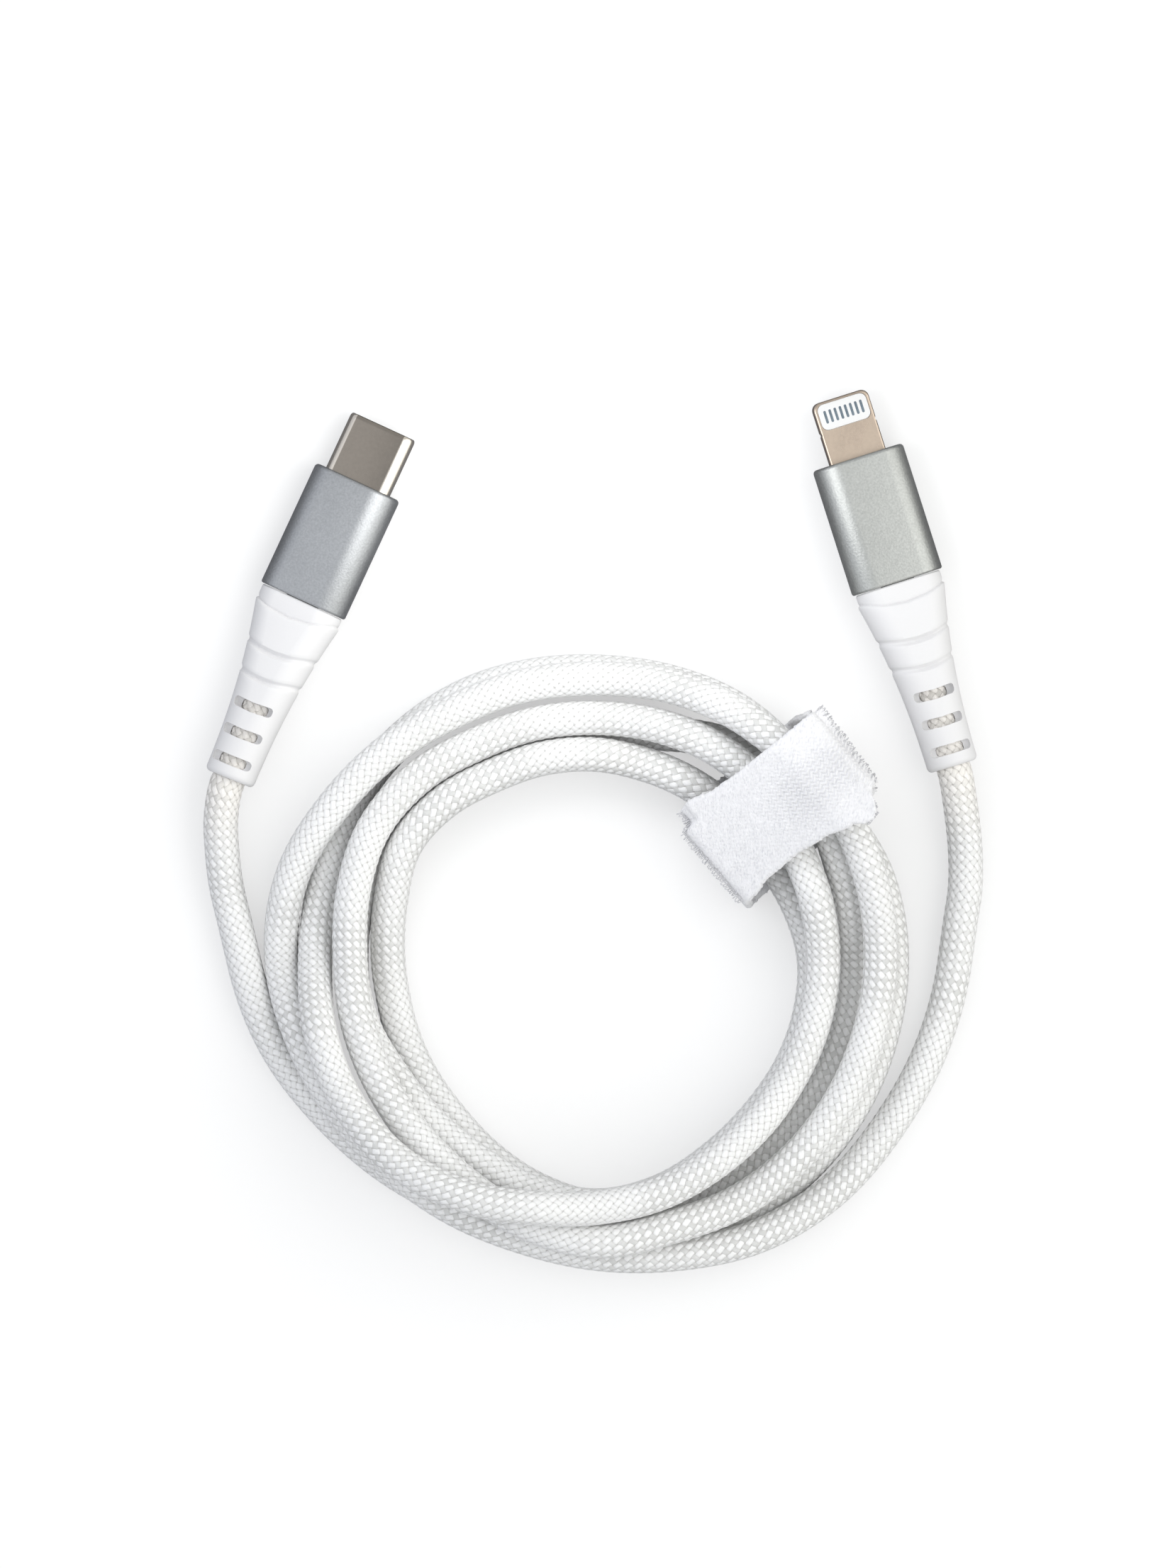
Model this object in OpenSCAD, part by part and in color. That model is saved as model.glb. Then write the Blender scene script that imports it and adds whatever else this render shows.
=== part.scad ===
// Charging cable: a braided lead wound flat, held by a woven strap, with an oval
// reversible plug on one end and a slim tongue plug on the other.
// +X runs across the bundle, +Y from the bundle to the plugs, +Z up from the floor.

/* [Cord] */
// Outer diameter of the braided cord
cord_d = 4; // [3:0.1:4]
// Clear space between neighbouring turns
strand_gap = 0.45; // [0.42:0.01:1.2]
// How far the turns rise to pass over the strap
strap_lift = 1.6; // [1.6:0.1:3]

/* [Strap] */
// Thickness of the woven strap
strap_t = 1.3; // [0.8:0.1:1.3]
// Width of the strap at its inner fold
strap_inner_w = 13.5; // [10:0.1:15]
// Width of the strap at its outer end
strap_outer_w = 10.6; // [8:0.1:13]
// Length of the tab that stands out past the bundle
strap_tab = 2.2; // [1:0.1:4]
// How much shorter the under tab is
strap_under_step = 0.9; // [0.2:0.1:1]
// Slack between the strap and what it touches
strap_slack = 0.35; // [0.3:0.05:0.6]

/* [Sleeves] */
// Length of both metal sleeves
sleeve_l = 15; // [13:0.1:18]
// Thickness of both metal sleeves
sleeve_t = 6; // [5.8:0.1:7]
// Width of the oval plug's sleeve
oval_sleeve_w = 10.7; // [10.3:0.05:12]
// Width of the tab plug's sleeve
tab_sleeve_w = 10.85; // [10.3:0.05:12]
// Wall of the sleeves
sleeve_wall = 0.5; // [0.3:0.05:0.6]
// Thickness of the sleeves' front wall
sleeve_front = 0.8; // [0.5:0.05:1]
// Rounding of the sleeves' front and rear rims
sleeve_edge = 0.45; // [0.2:0.05:0.45]

/* [Oval plug] */
// Width of the metal shell
shell_w = 8.25; // [8:0.05:8.4]
// Thickness of the metal shell
shell_t = 2.4; // [2.4:0.05:2.6]
// Wall of the metal shell
shell_wall = 0.3; // [0.2:0.05:0.3]
// How far the shell stands out of the sleeve
shell_out = 7; // [6:0.05:7.2]
// How far the shell reaches into the sleeve
shell_in = 3.55; // [3:0.05:3.8]
// Insulator left on each side of the slot
slot_side = 0.375; // [0.3:0.005:0.45]
// Height of the slot in the insulator
slot_t = 0.76; // [0.7:0.02:0.8]
// Depth of the slot in the insulator
slot_depth = 4.7; // [4:0.1:5]
// Contacts in each row
oval_contacts = 12; // [4:1:12]
// Spacing of the contacts
oval_pitch = 0.5; // [0.45:0.01:0.54]
// Tilt of the plug about its own length
oval_roll = 15; // [0:1:20]

/* [Tab plug] */
// Width of the bare tongue
tongue_w = 6.7; // [6.6:0.05:6.8]
// Thickness of the bare tongue
tongue_t = 1.5; // [1.4:0.05:1.6]
// How far the tongue stands out of the sleeve
tongue_out = 7.25; // [6.3:0.05:7.4]
// Corner radius of the tongue's tip
tongue_corner = 0.9; // [0.8:0.1:2]
// Radius of the latch notch in each side
notch_r = 0.3; // [0.2:0.05:0.5]
// Width of the contact pad
pad_w = 5.9; // [5.6:0.05:6]
// Length of the contact pad
pad_l = 3.05; // [2.8:0.05:3.5]
// Metal between the pad and the tip
pad_rim = 0.3; // [0.2:0.05:1.2]
// Contacts on each face
tab_contacts = 8; // [4:1:8]
// Spacing of the contacts
tab_pitch = 0.62; // [0.55:0.01:0.66]
// Length of one contact
tab_contact_l = 1.5; // [1.2:0.05:2]
// Tilt of the plug about its own length
tab_roll = 8; // [0:1:20]

/* [Strain reliefs] */
// Length from the sleeve to the cord's exit
relief_l = 22; // [21.5:0.1:25]
// Thickness of the relief, and its width at the exit
relief_t = 5.9; // [5.7:0.05:5.9]
// Width of the neck at the sleeve
neck_w = 10.1; // [9.6:0.05:10.2]
// Width of the step behind the neck
lip_w = 10.4; // [10.25:0.05:10.6]
// Distance from the sleeve to the step, on the centre line
lip_at = 2.6; // [2:0.1:3]
// Distance that the step bows away from the sleeve
lip_bow = 1.1; // [0:0.05:1.5]
// Distance from the sleeve to the first mark
first_mark = 7; // [6.5:0.05:7.5]
// Distance from the last mark to the cord's exit
last_mark = 2; // [1.8:0.05:2.5]
// Shallow grooves, nearest the sleeve
grooves = 2; // [0:1:2]
// Windows that show the cord
windows = 3; // [1:1:3]
// Width of a groove
groove_w = 1; // [0.7:0.05:1.3]
// Depth of a groove
groove_depth = 0.4; // [0.1:0.05:0.5]
// Length of a window along the cord
window_l = 1.15; // [0.8:0.05:1.6]
// Width of a window across the cord
window_w = 4.8; // [4:0.1:4.8]
// Half of the web left between the upper and lower windows
window_web = 1; // [0.6:0.1:1.5]

/* [Insides] */
// Clear space between a circuit board's sides and the shield can
board_side_gap = 0.25; // [0.1:0.05:0.6]
// Clear space between a circuit board and the moulding behind it
board_rear_gap = 0.3; // [0.1:0.05:1]
// Thickness of the shield can
can_wall = 0.2; // [0.15:0.05:0.25]
// Length of the moulding that fills the sleeve's rear
mould_l = 3.4; // [2.6:0.1:3.4]
// Depth of the socket that holds the cord's jacket
jacket_socket = 2; // [1.6:0.05:2.2]
// Diameter of one insulated conductor
wire_d = 0.8; // [0.6:0.05:0.9]
// Distance between neighbouring conductors
wire_pitch = 1.5; // [1.2:0.05:1.8]
// Thickness of the contacts
contact_t = 0.15; // [0.1:0.01:0.15]
// Width of the contacts
contact_w = 0.3; // [0.2:0.01:0.36]
// Height of the chips
chip_t = 0.7; // [0.4:0.05:0.9]

/* [Hidden] */
$fn = 48;

// Clearance of a sliding or moulded fit
fit = 0.05;
// Clearance where a rigid piece passes through another
pass = 0.1;
// Clearance of the cord in a relief
cord_pass = 0.15;
// How far a cut runs past the face that it opens
over = 1;

// Where each sleeve's front face is, and how far each plug turns from +Y
oval_at = [-26.72, 18.71, tilt_height(oval_sleeve_w, oval_roll)];
oval_heading = -24.9;
oval_relief_lean = 2.5;
tab_at = [30.37, 21.54, tilt_height(tab_sleeve_w, tab_roll)];
tab_heading = 17.7;
tab_relief_lean = -0.9;

// Centre of the wound bundle, and the direction in which the strap crosses it
coil_at = [0.69, -35.58];
strap_heading = 40.4;

// The wound cord, turn by turn from the oval plug's end.
// Each entry is an angle, the radius there and the layer that the cord lies in.
turns = [
    [[180, 41.9, 0], [195, 39.6, 0], [210, 36.5, 0], [225, 34.2, 0], [240, 33, 0],
     [255, 33, 0], [285, 33.6, 0], [315, 33.7, 0], [345, 33.7, 0], [375, 33.3, 0],
     [390, 31.9, 0], [420, 28.3, 0], [435, 26.4, 0], [450, 25.1, 0], [465, 25.3, 0],
     [495, 27.1, 0], [510, 27.9, 0]],
    [[180, 28.1, 0], [195, 27.9, 0.45], [210, 27.1, 0.8], [225, 26.9, 0.92],
     [240, 27.1, 1], [255, 27.7, 1], [270, 27.7, 1], [285, 27, 0.92],
     [300, 25.7, 0.66], [315, 24.8, 0.3], [330, 24.6, 0], [360, 24.3, 0],
     [375, 23.4, 0], [390, 22.6, 0], [405, 22.3, 0.15], [435, 22.6, 0.6],
     [450, 22.8, 0.9], [465, 23, 0.93], [480, 23.5, 0.9], [495, 24.4, 0.88],
     [510, 24.7, 0.75], [525, 23.8, 0.35]],
    [[180, 23.5, 0.05], [195, 23.6, 0], [225, 24.8, 0], [240, 25.8, 0],
     [270, 28.4, 0], [285, 29.1, 0], [315, 29.2, 0], [345, 29, 0], [360, 29, 0.1],
     [375, 29.4, 0.6], [390, 30.2, 1], [405, 31.7, 1], [420, 33, 0.5],
     [435, 33.2, 0.1], [450, 32.9, 0], [480, 33.5, 0], [510, 33.2, 0],
     [525, 32.6, 0.05]],
    [[180, 32.5, 0.5], [195, 32.9, 1.8], [210, 33.1, 2.1], [225, 32.7, 2.55],
     [240, 31.2, 2.9], [255, 29.3, 2.85], [270, 28, 2.3], [285, 27.4, 1.97],
     [300, 26.4, 1.7], [315, 26, 1.35], [330, 25.8, 1.05], [360, 25.7, 1.05],
     [375, 25.7, 1.25], [390, 25.8, 1.25], [405, 26.9, 1.25], [420, 27.3, 1.02],
     [435, 27.3, 1], [450, 27.3, 0.92], [465, 27.6, 0.92], [480, 28, 0.92],
     [495, 29, 0.95], [510, 29.3, 1], [525, 28.8, 1.05]],
    [[180, 28.2, 1.05], [195, 28.3, 1.55], [210, 28.6, 1.8], [225, 29.1, 1.84],
     [240, 30.1, 1.8], [255, 31.7, 1.9], [270, 32.8, 1.95], [285, 32, 1.65],
     [300, 32.2, 1.15], [315, 32.2, 1.05], [345, 32.2, 1.05], [360, 32.3, 1.15],
     [375, 32.4, 1.55], [390, 32.4, 1.9], [405, 31.9, 2.05], [420, 32, 1.6],
     [435, 32.2, 1.15], [450, 31.8, 1], [465, 32.1, 1], [480, 32.5, 1],
     [495, 33.7, 1], [510, 35.2, 0.95], [525, 36.9, 0.55]],
    [[180, 37.3, 0.2], [195, 35.8, 0.85], [210, 34.4, 1], [225, 33.8, 1],
     [255, 33.8, 1], [270, 34.5, 1], [285, 35.6, 0.93], [300, 37.4, 0.65],
     [315, 38.4, 0.2], [330, 39.2, 0], [360, 41.2, 0]]];
full_turn = 360;
coil_rings = 24;
coil_sides = 6;
lead_sides = 12;
coil_start = turns[0][0][0];
coil_end = (len(turns) - 1) * full_turn + turns[len(turns) - 1][len(turns[len(turns) - 1]) - 1][0];
coil_knots = [for (i = [0:len(turns) - 1]) for (k = turns[i])
    [k[0] + i * full_turn, k[1], k[2]]];

// Angles round the bundle between which the turns rise over the strap and sink again
lift_from = -2;
lift_to = 84;
lift_ramp = 24;

// The free stretches of the cord between each relief and the bundle
oval_lead_points = [[-42.6, -20.8, 3.2], [-42.7, -24.5, 2.6]];
tab_lead_points = [[42.2, -18.6, 2.9], [42.7, -23.3, 2.3]];
// How far the cord runs straight out of a relief
lead_straight = 1;
// Where the jacket's end meets the lead, behind the sleeve
jacket_end_at = 3;

// Height of a plug's axis when its tilted sleeve rests on the floor
function tilt_height(width, roll) = sleeve_t / 2 + (width - sleeve_t) / 2 * sin(roll);

// ---- Vectors ----
function unit(v) = v / norm(v);
function turn_y(a, v) = [v.x * cos(a) + v.z * sin(a), v.y, v.z * cos(a) - v.x * sin(a)];
function turn_z(a, v) = [v.x * cos(a) - v.y * sin(a), v.x * sin(a) + v.y * cos(a), v.z];

// A point given in a plug's own frame, whose +Y points out of the tip
function on_plug(at, heading, roll, v) = at + turn_z(heading, turn_y(roll, v));
// The same for a relief, which leans from the plug at the sleeve's rear
function on_relief(at, heading, roll, lean, v) =
    on_plug(at, heading, roll, [0, -sleeve_l, 0] + turn_z(lean, v));

// ---- Smooth values between knots ----
function knot_slope(k, i) =
    (k[min(i + 1, len(k) - 1)] - k[max(i - 1, 0)])
    / (k[min(i + 1, len(k) - 1)][0] - k[max(i - 1, 0)][0]);
function knot_before(k, s) = max([for (i = [0:len(k) - 2]) if (i == 0 || k[i][0] <= s) i]);
function hermite(a, b, ma, mb, t) =
    (2 * t * t * t - 3 * t * t + 1) * a + (t * t * t - 2 * t * t + t) * ma
    + (3 * t * t - 2 * t * t * t) * b + (t * t * t - t * t) * mb;
function between(k, s) =
    let (i = knot_before(k, s), w = k[i + 1][0] - k[i][0])
    hermite(k[i], k[i + 1], knot_slope(k, i) * w, knot_slope(k, i + 1) * w, (s - k[i][0]) / w);

// ---- Surfaces skinned over rings of points ----
function ring_faces(n, m) = [
    for (i = [0:n - 2]) for (j = [0:m - 1])
        each [[i * m + j, (i + 1) * m + (j + 1) % m, (i + 1) * m + j],
              [i * m + j, i * m + (j + 1) % m, (i + 1) * m + (j + 1) % m]],
    for (j = [1:m - 2]) each [[0, j + 1, j], [(n - 1) * m, (n - 1) * m + j, (n - 1) * m + j + 1]]];
module skin(rings) {
    polyhedron([for (r = rings) each r], ring_faces(len(rings), len(rings[0])));
}

// Direction of a path at one of its points
function heading_at(p, i) =
    let (ahead = p[min(i + 1, len(p) - 1)] - p[min(i, len(p) - 2)],
         behind = p[max(i, 1)] - p[max(i - 1, 0)])
    unit(unit(ahead) + unit(behind));
// A ring of points round a path that stays nearly level
function cord_ring(at, along, sides) =
    let (side = unit(cross(along, [0, 0, 1])), rise = cross(side, along))
    [for (j = [0:sides - 1])
        at + cord_d / 2 * (cos(j * 360 / sides) * rise - sin(j * 360 / sides) * side)];
module cord(path, sides) {
    skin([for (i = [0:len(path) - 1]) cord_ring(path[i], heading_at(path, i), sides)]);
}

// ---- The wound cord ----
function smooth_step(t) = t * t * (3 - 2 * t);
function ramp(t) = smooth_step(min(1, max(0, t)));
function round_angle(a) = (a + full_turn / 2) % full_turn - full_turn / 2;
function coil_lift(a) = strap_lift
    * min(ramp((round_angle(a) - lift_from) / lift_ramp), ramp((lift_to - round_angle(a)) / lift_ramp));
function coil_point(a) =
    let (k = between(coil_knots, a),
         z = cord_d / 2 + max(0, k[2]) * (cord_d + strand_gap) + coil_lift(a))
    [coil_at.x + k[1] * cos(a), coil_at.y + k[1] * sin(a), z];
// The direction in which the cord enters and leaves the bundle
end_step = 2;
coil_in = unit(coil_point(coil_start + end_step) - coil_point(coil_start));
coil_out = unit(coil_point(coil_end) - coil_point(coil_end - end_step));
coil_entry = coil_point(coil_start) - cord_d * coil_in;
coil_exit = coil_point(coil_end) + cord_d * coil_out;
coil_axis = [for (a = [coil_start:full_turn / coil_rings:coil_end]) coil_point(a)];
coil_path = concat([coil_entry], coil_axis, [coil_exit]);

// Least distance between turns, measured on the axis and halfway between its rings
probe = [for (i = [0:len(coil_axis) - 2]) each [coil_axis[i], (coil_axis[i] + coil_axis[i + 1]) / 2]];
apart = coil_rings;
least_gap = min([for (i = [0:len(probe) - 1 - apart]) for (j = [i + apart:len(probe) - 1])
    norm(probe[i] - probe[j])]) - cord_d;
coil_l = [for (i = 1, l = 0; i < len(coil_path); l = l + norm(coil_path[i] - coil_path[i - 1]), i = i + 1) l];
echo(least_gap = least_gap, coil_length = coil_l[len(coil_l) - 1]);

module cord_coil() {
    color("white") cord(coil_path, coil_sides);
}

// ---- The free stretches ----
function lead_path(at, heading, roll, lean, points, coil_side, coil_run) = concat(
    [for (y = [jacket_end_at, (jacket_end_at + relief_l) / 2, relief_l + lead_straight])
        on_relief(at, heading, roll, lean, [0, -y, 0])],
    points, [coil_side + cord_d * coil_run, coil_side]);

module oval_lead() {
    color("white") cord(lead_path(oval_at, oval_heading, -oval_roll, oval_relief_lean,
        oval_lead_points, coil_entry, -coil_in), lead_sides);
}
module tab_lead() {
    color("white") cord(lead_path(tab_at, tab_heading, tab_roll, tab_relief_lean,
        tab_lead_points, coil_exit, coil_out), lead_sides);
}

// ---- Placing the plugs ----
module place_plug(at, heading, roll) {
    translate(at) rotate([0, 0, heading]) rotate([0, roll, 0]) children();
}
module place_relief(lean) {
    translate([0, -sleeve_l, 0]) rotate([0, 0, lean]) children();
}
module in_oval_plug() {
    place_plug(oval_at, oval_heading, -oval_roll) children();
}
module in_tab_plug() {
    place_plug(tab_at, tab_heading, tab_roll) children();
}

// ---- Shapes that both plugs share ----
// A bar with round sides that runs back from a plug's own y
module stadium_bar(w, t, from, l) {
    translate([0, from, 0]) rotate([90, 0, 0]) linear_extrude(l) union() {
        square([w - t, t], center = true);
        for (side = [-1, 1]) translate([side * (w - t) / 2, 0]) circle(d = t);
    }
}
// A box that runs back from a plug's own y
module box_bar(w, t, from, l) {
    translate([-w / 2, from - l, -t / 2]) cube([w, l, t]);
}
// A ring of points with round sides; its sides bow back by the given amount
ring_arc = 8;
function stadium_ring(w, t, y, bow = 0) = [
    for (side = [1, -1]) for (j = [0:ring_arc])
        let (a = side * 90 - j * 180 / ring_arc,
             x = side * (w - t) / 2 + t / 2 * cos(a), z = t / 2 * sin(a))
        [x, -y + bow * pow(x / (w / 2), 2), z]];

// ---- What both plugs have ----
cavity_t = sleeve_t - 2 * sleeve_wall;
function cavity_w(sleeve_w) = sleeve_w - 2 * sleeve_wall;
// Where the pieces follow each other, measured back from the sleeve's front face
flange_at = sleeve_front + fit;
board_at = 5.7;
mould_at = sleeve_l - mould_l;
can_l = mould_at - board_at - pass;
board_l = mould_at - board_at - board_rear_gap;
// One board fits both plugs, so the narrower sleeve sets its width
board_w = cavity_w(min(oval_sleeve_w, tab_sleeve_w)) - 2 * (pass + can_wall + board_side_gap);
// The contacts' tails run level from the slot onto the board, so both have one height
board_t = slot_t;

// A rounded rim: how far back each ring lies, and how far it is drawn in
function rim_steps(r) = [for (a = [0, 30, 60, 90]) [r * (1 - cos(a)), r * (1 - sin(a))]];
// A sleeve with softly rounded rims; its front wall is cut to the outline given as a child
module plug_sleeve(w) {
    front = rim_steps(sleeve_edge);
    rear = rim_steps(min(sleeve_edge, sleeve_wall / 2));
    rings = concat(front, [for (i = [len(rear) - 1:-1:0]) [sleeve_l - rear[i][0], rear[i][1]]]);
    difference() {
        skin([for (r = rings) stadium_ring(w - 2 * r[1], sleeve_t - 2 * r[1], r[0])]);
        stadium_bar(cavity_w(w), cavity_t, -sleeve_front, sleeve_l);
        children();
    }
}

// The strain relief, from its neck to the rounded exit
function relief_w(y) = relief_t
    + (lip_w - relief_t) * pow(max(0, relief_l - y) / (relief_l - lip_at), 2.2);
function relief_bow(y) = lip_bow * max(0, relief_l - y) / (relief_l - lip_at);
function relief_ring(y, inset = 0, cut = 0) =
    stadium_ring(relief_w(y) - 2 * inset, relief_t - 2 * inset - 2 * cut, y, relief_bow(y));
neck_from = 0.25;
neck_t = relief_t - 0.4;
step_l = 0.1;
groove_slope = 0.3;
exit_edge = 0.6;
mark_pitch = (relief_l - first_mark - last_mark) / (grooves + windows - 1);
module plug_relief() {
    marks = [for (i = [0:grooves - 1]) first_mark + i * mark_pitch];
    rings = concat(
        [stadium_ring(neck_w, neck_t, neck_from),
         stadium_ring(neck_w, neck_t, lip_at - step_l, lip_bow),
         relief_ring(lip_at),
         relief_ring((lip_at + first_mark) / 2)],
        [for (m = marks) each [relief_ring(m - groove_w / 2),
            relief_ring(m - groove_w / 2 + groove_slope, cut = groove_depth),
            relief_ring(m + groove_w / 2 - groove_slope, cut = groove_depth),
            relief_ring(m + groove_w / 2)]],
        [for (i = [grooves:grooves + windows - 1]) relief_ring(first_mark + i * mark_pitch)],
        [relief_ring(relief_l - exit_edge),
         relief_ring(relief_l - 0.3 * exit_edge, inset = 0.3 * exit_edge),
         relief_ring(relief_l, inset = exit_edge)]);
    difference() {
        skin(rings);
        translate([0, over, 0]) rotate([90, 0, 0])
            cylinder(d = cord_d + 2 * cord_pass, h = relief_l + 2 * over);
        for (i = [grooves:grooves + windows - 1]) for (side = [0, 1]) mirror([0, 0, side])
            translate([-window_w / 2, -first_mark - i * mark_pitch - window_l / 2, window_web])
                cube([window_w, window_l, relief_t]);
    }
}

// The cord's jacket, from its socket in the moulding to where the lead goes on
module plug_jacket_end() {
    front = jacket_socket - 2 * pass;
    translate([0, front, 0]) rotate([90, 0, 0]) cylinder(d = cord_d, h = front + jacket_end_at);
}

// Two conductors over the board and two under it
wire_z = board_t / 2 + wire_d / 2;
contact_tail = 1.2;
chip_l = 2.2;
// The wires lie on what the contacts' tails and the chips leave of the board
wire_lap = board_l - contact_tail - chip_l - 2 * pass;
module plug_conductors() {
    wire_end = sleeve_l - jacket_socket;
    for (x = [-1, 1]) for (z = [-1, 1])
        translate([x * wire_pitch / 2, -board_at - board_l + wire_lap, z * wire_z]) rotate([90, 0, 0])
            cylinder(d = wire_d, h = wire_end - board_at - board_l + wire_lap);
}

// The moulding that fills the sleeve's rear round the conductors
module plug_inner_mould(sleeve_w) {
    difference() {
        stadium_bar(cavity_w(sleeve_w) - 2 * fit, cavity_t - 2 * fit, -mould_at, mould_l);
        for (x = [-1, 1]) for (z = [-1, 1])
            translate([x * wire_pitch / 2, -mould_at + over, z * wire_z]) rotate([90, 0, 0])
                cylinder(d = wire_d + 2 * fit, h = mould_l + 2 * over);
        translate([0, -sleeve_l + jacket_socket, 0]) rotate([90, 0, 0])
            cylinder(d = cord_d + 4 * cord_pass, h = jacket_socket + over);
    }
}

// A circuit board, with a tongue reaching forward where the plug needs one
module plug_board(forward) {
    box_bar(board_w, board_t, -board_at, board_l);
    if (forward > 0) box_bar(board_w / 2, board_t, -board_at + forward, forward + fit);
}

// The chips that stand on a board, between the contacts' tails and the conductors
chip_margin = 1.2;
chip_w = [2.4, 3];
chip_apart = 0.3;
module plug_chips() {
    for (i = [0:len(chip_w) - 1])
        translate([chip_margin - board_w / 2 + i * (chip_w[0] + chip_apart),
            -board_at - contact_tail - pass - chip_l, board_t / 2])
                cube([chip_w[i], chip_l, chip_t]);
}

// The folded can that screens a board
module plug_shield_can(sleeve_w) {
    w = cavity_w(sleeve_w) - 2 * pass;
    t = cavity_t - 2 * pass;
    difference() {
        stadium_bar(w, t, -board_at, can_l);
        stadium_bar(w - 2 * can_wall, t - 2 * can_wall, -board_at + over, can_l + 2 * over);
    }
}

// ---- The oval plug ----
module oval_plug_shell() {
    color([0.42, 0.40, 0.37]) in_oval_plug() difference() {
        stadium_bar(shell_w, shell_t, shell_out, shell_out + shell_in);
        stadium_bar(shell_w - 2 * shell_wall, shell_t - 2 * shell_wall, shell_out + over,
            shell_out + shell_in + 2 * over);
    }
}

insulator_w = shell_w - 2 * shell_wall - 2 * fit;
insulator_t = shell_t - 2 * shell_wall - 2 * fit;
slot_w = insulator_w - 2 * slot_side;
insulator_recess = 0.3;
contact_z = slot_t / 2 + contact_t / 2;
contact_recess = 0.4;
latch_w = 0.22;
latch_t = 0.3;
latch_front = 0.8;
spring_t = 0.12;
spring_w = 5.6;
spring_l = 3;
spring_recess = 0.5;
module contact_row(side, gap) {
    front = shell_out - insulator_recess - contact_recess;
    for (i = [0:oval_contacts - 1])
        translate([(i - (oval_contacts - 1) / 2) * oval_pitch, 0, side * (contact_z + gap / 2)])
            box_bar(contact_w + 2 * gap, contact_t + gap, front + gap, front + board_at + contact_tail + gap);
}
// The latch: a flat spring that runs back along both ends of the slot and joins behind it
module latch_shape(gap) {
    arm_x = slot_w / 2 + latch_w / 2;
    front = shell_out - insulator_recess - latch_front;
    for (side = [-1, 1]) translate([side * arm_x, 0, 0])
        box_bar(latch_w + 2 * gap, latch_t + 2 * gap, front + gap, front + shell_in - fit + gap);
    box_bar(slot_w + 2 * gap, latch_t + 2 * gap, -shell_in + 2 * latch_w + fit + gap, 2 * latch_w + 2 * gap);
}
module spring_shape(gap) {
    for (side = [-1, 1]) translate([0, 0, side * (insulator_t / 2 - spring_t / 2)])
        box_bar(spring_w + 2 * gap, spring_t + 2 * gap, shell_out - insulator_recess - spring_recess + gap,
            spring_l + 2 * gap);
}
insulator_gap = 0.02;
module oval_plug_insulator() {
    front = shell_out - insulator_recess;
    flange_w = cavity_w(oval_sleeve_w) - 2 * pass;
    color([0.16, 0.16, 0.17]) in_oval_plug() difference() {
        union() {
            stadium_bar(insulator_w, insulator_t, front, front + board_at - fit);
            stadium_bar(flange_w, cavity_t - 2 * pass, -shell_in - fit, board_at - shell_in - 2 * fit);
        }
        box_bar(slot_w, slot_t, front + over, slot_depth + over);
        contact_row(1, insulator_gap);
        contact_row(-1, insulator_gap);
        latch_shape(insulator_gap);
        spring_shape(insulator_gap);
    }
}
module oval_plug_upper_contacts() {
    color([0.83, 0.68, 0.38]) in_oval_plug() contact_row(1, 0);
}
module oval_plug_lower_contacts() {
    color([0.83, 0.68, 0.38]) in_oval_plug() contact_row(-1, 0);
}
module oval_plug_ground_springs() {
    color([0.70, 0.70, 0.70]) in_oval_plug() spring_shape(0);
}
module oval_plug_latch() {
    color([0.70, 0.70, 0.70]) in_oval_plug() latch_shape(0);
}
module oval_plug_board() {
    color([0.10, 0.32, 0.22]) in_oval_plug() plug_board(0);
}
module oval_plug_board_chips() {
    color([0.10, 0.10, 0.11]) in_oval_plug() plug_chips();
}
module oval_plug_shield_can() {
    color([0.74, 0.74, 0.73]) in_oval_plug() plug_shield_can(oval_sleeve_w);
}
module oval_plug_inner_mould() {
    color([0.86, 0.86, 0.84]) in_oval_plug() plug_inner_mould(oval_sleeve_w);
}
module oval_plug_sleeve() {
    color([0.60, 0.63, 0.67]) in_oval_plug() plug_sleeve(oval_sleeve_w)
        stadium_bar(shell_w + 2 * pass, shell_t + 2 * pass, over, sleeve_front + 2 * over);
}
module oval_plug_relief() {
    color([0.93, 0.93, 0.93]) in_oval_plug() place_relief(oval_relief_lean) plug_relief();
}
module oval_plug_conductors() {
    color([0.75, 0.20, 0.16]) in_oval_plug() plug_conductors();
}
module oval_plug_jacket_end() {
    color([0.93, 0.93, 0.91]) in_oval_plug() place_relief(oval_relief_lean) plug_jacket_end();
}

// ---- The tab plug ----
tongue_in = 3.2;
tongue_flange_l = 1.6;
pad_corner = 0.75;
core_t = 0.7;
tab_contact_w = 0.4;
notch_at = tongue_out - pad_rim - pad_l - notch_r;
module pad_outline(gap) {
    offset(r = pad_corner) offset(delta = -pad_corner)
        square([pad_w - 2 * gap, pad_l - 2 * gap], center = true);
}
module pad_block(gap, t) {
    translate([0, tongue_out - pad_rim - pad_l / 2, -t / 2]) linear_extrude(t) pad_outline(gap);
}
module tongue_outline() {
    hull() {
        for (side = [-1, 1]) translate([side * (tongue_w / 2 - tongue_corner), tongue_out - tongue_corner])
            circle(r = tongue_corner);
        translate([-tongue_w / 2, -tongue_in]) square([tongue_w, 1]);
    }
}
module tab_contact_row(side, gap) {
    for (i = [0:tab_contacts - 1])
        translate([(i - (tab_contacts - 1) / 2) * tab_pitch, 0,
            side * (tongue_t / 2 - contact_t / 2 + gap / 2)])
                box_bar(tab_contact_w + 2 * gap, contact_t + gap,
                    tongue_out - pad_rim - pad_l / 2 + tab_contact_l / 2 + gap, tab_contact_l + 2 * gap);
}
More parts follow.
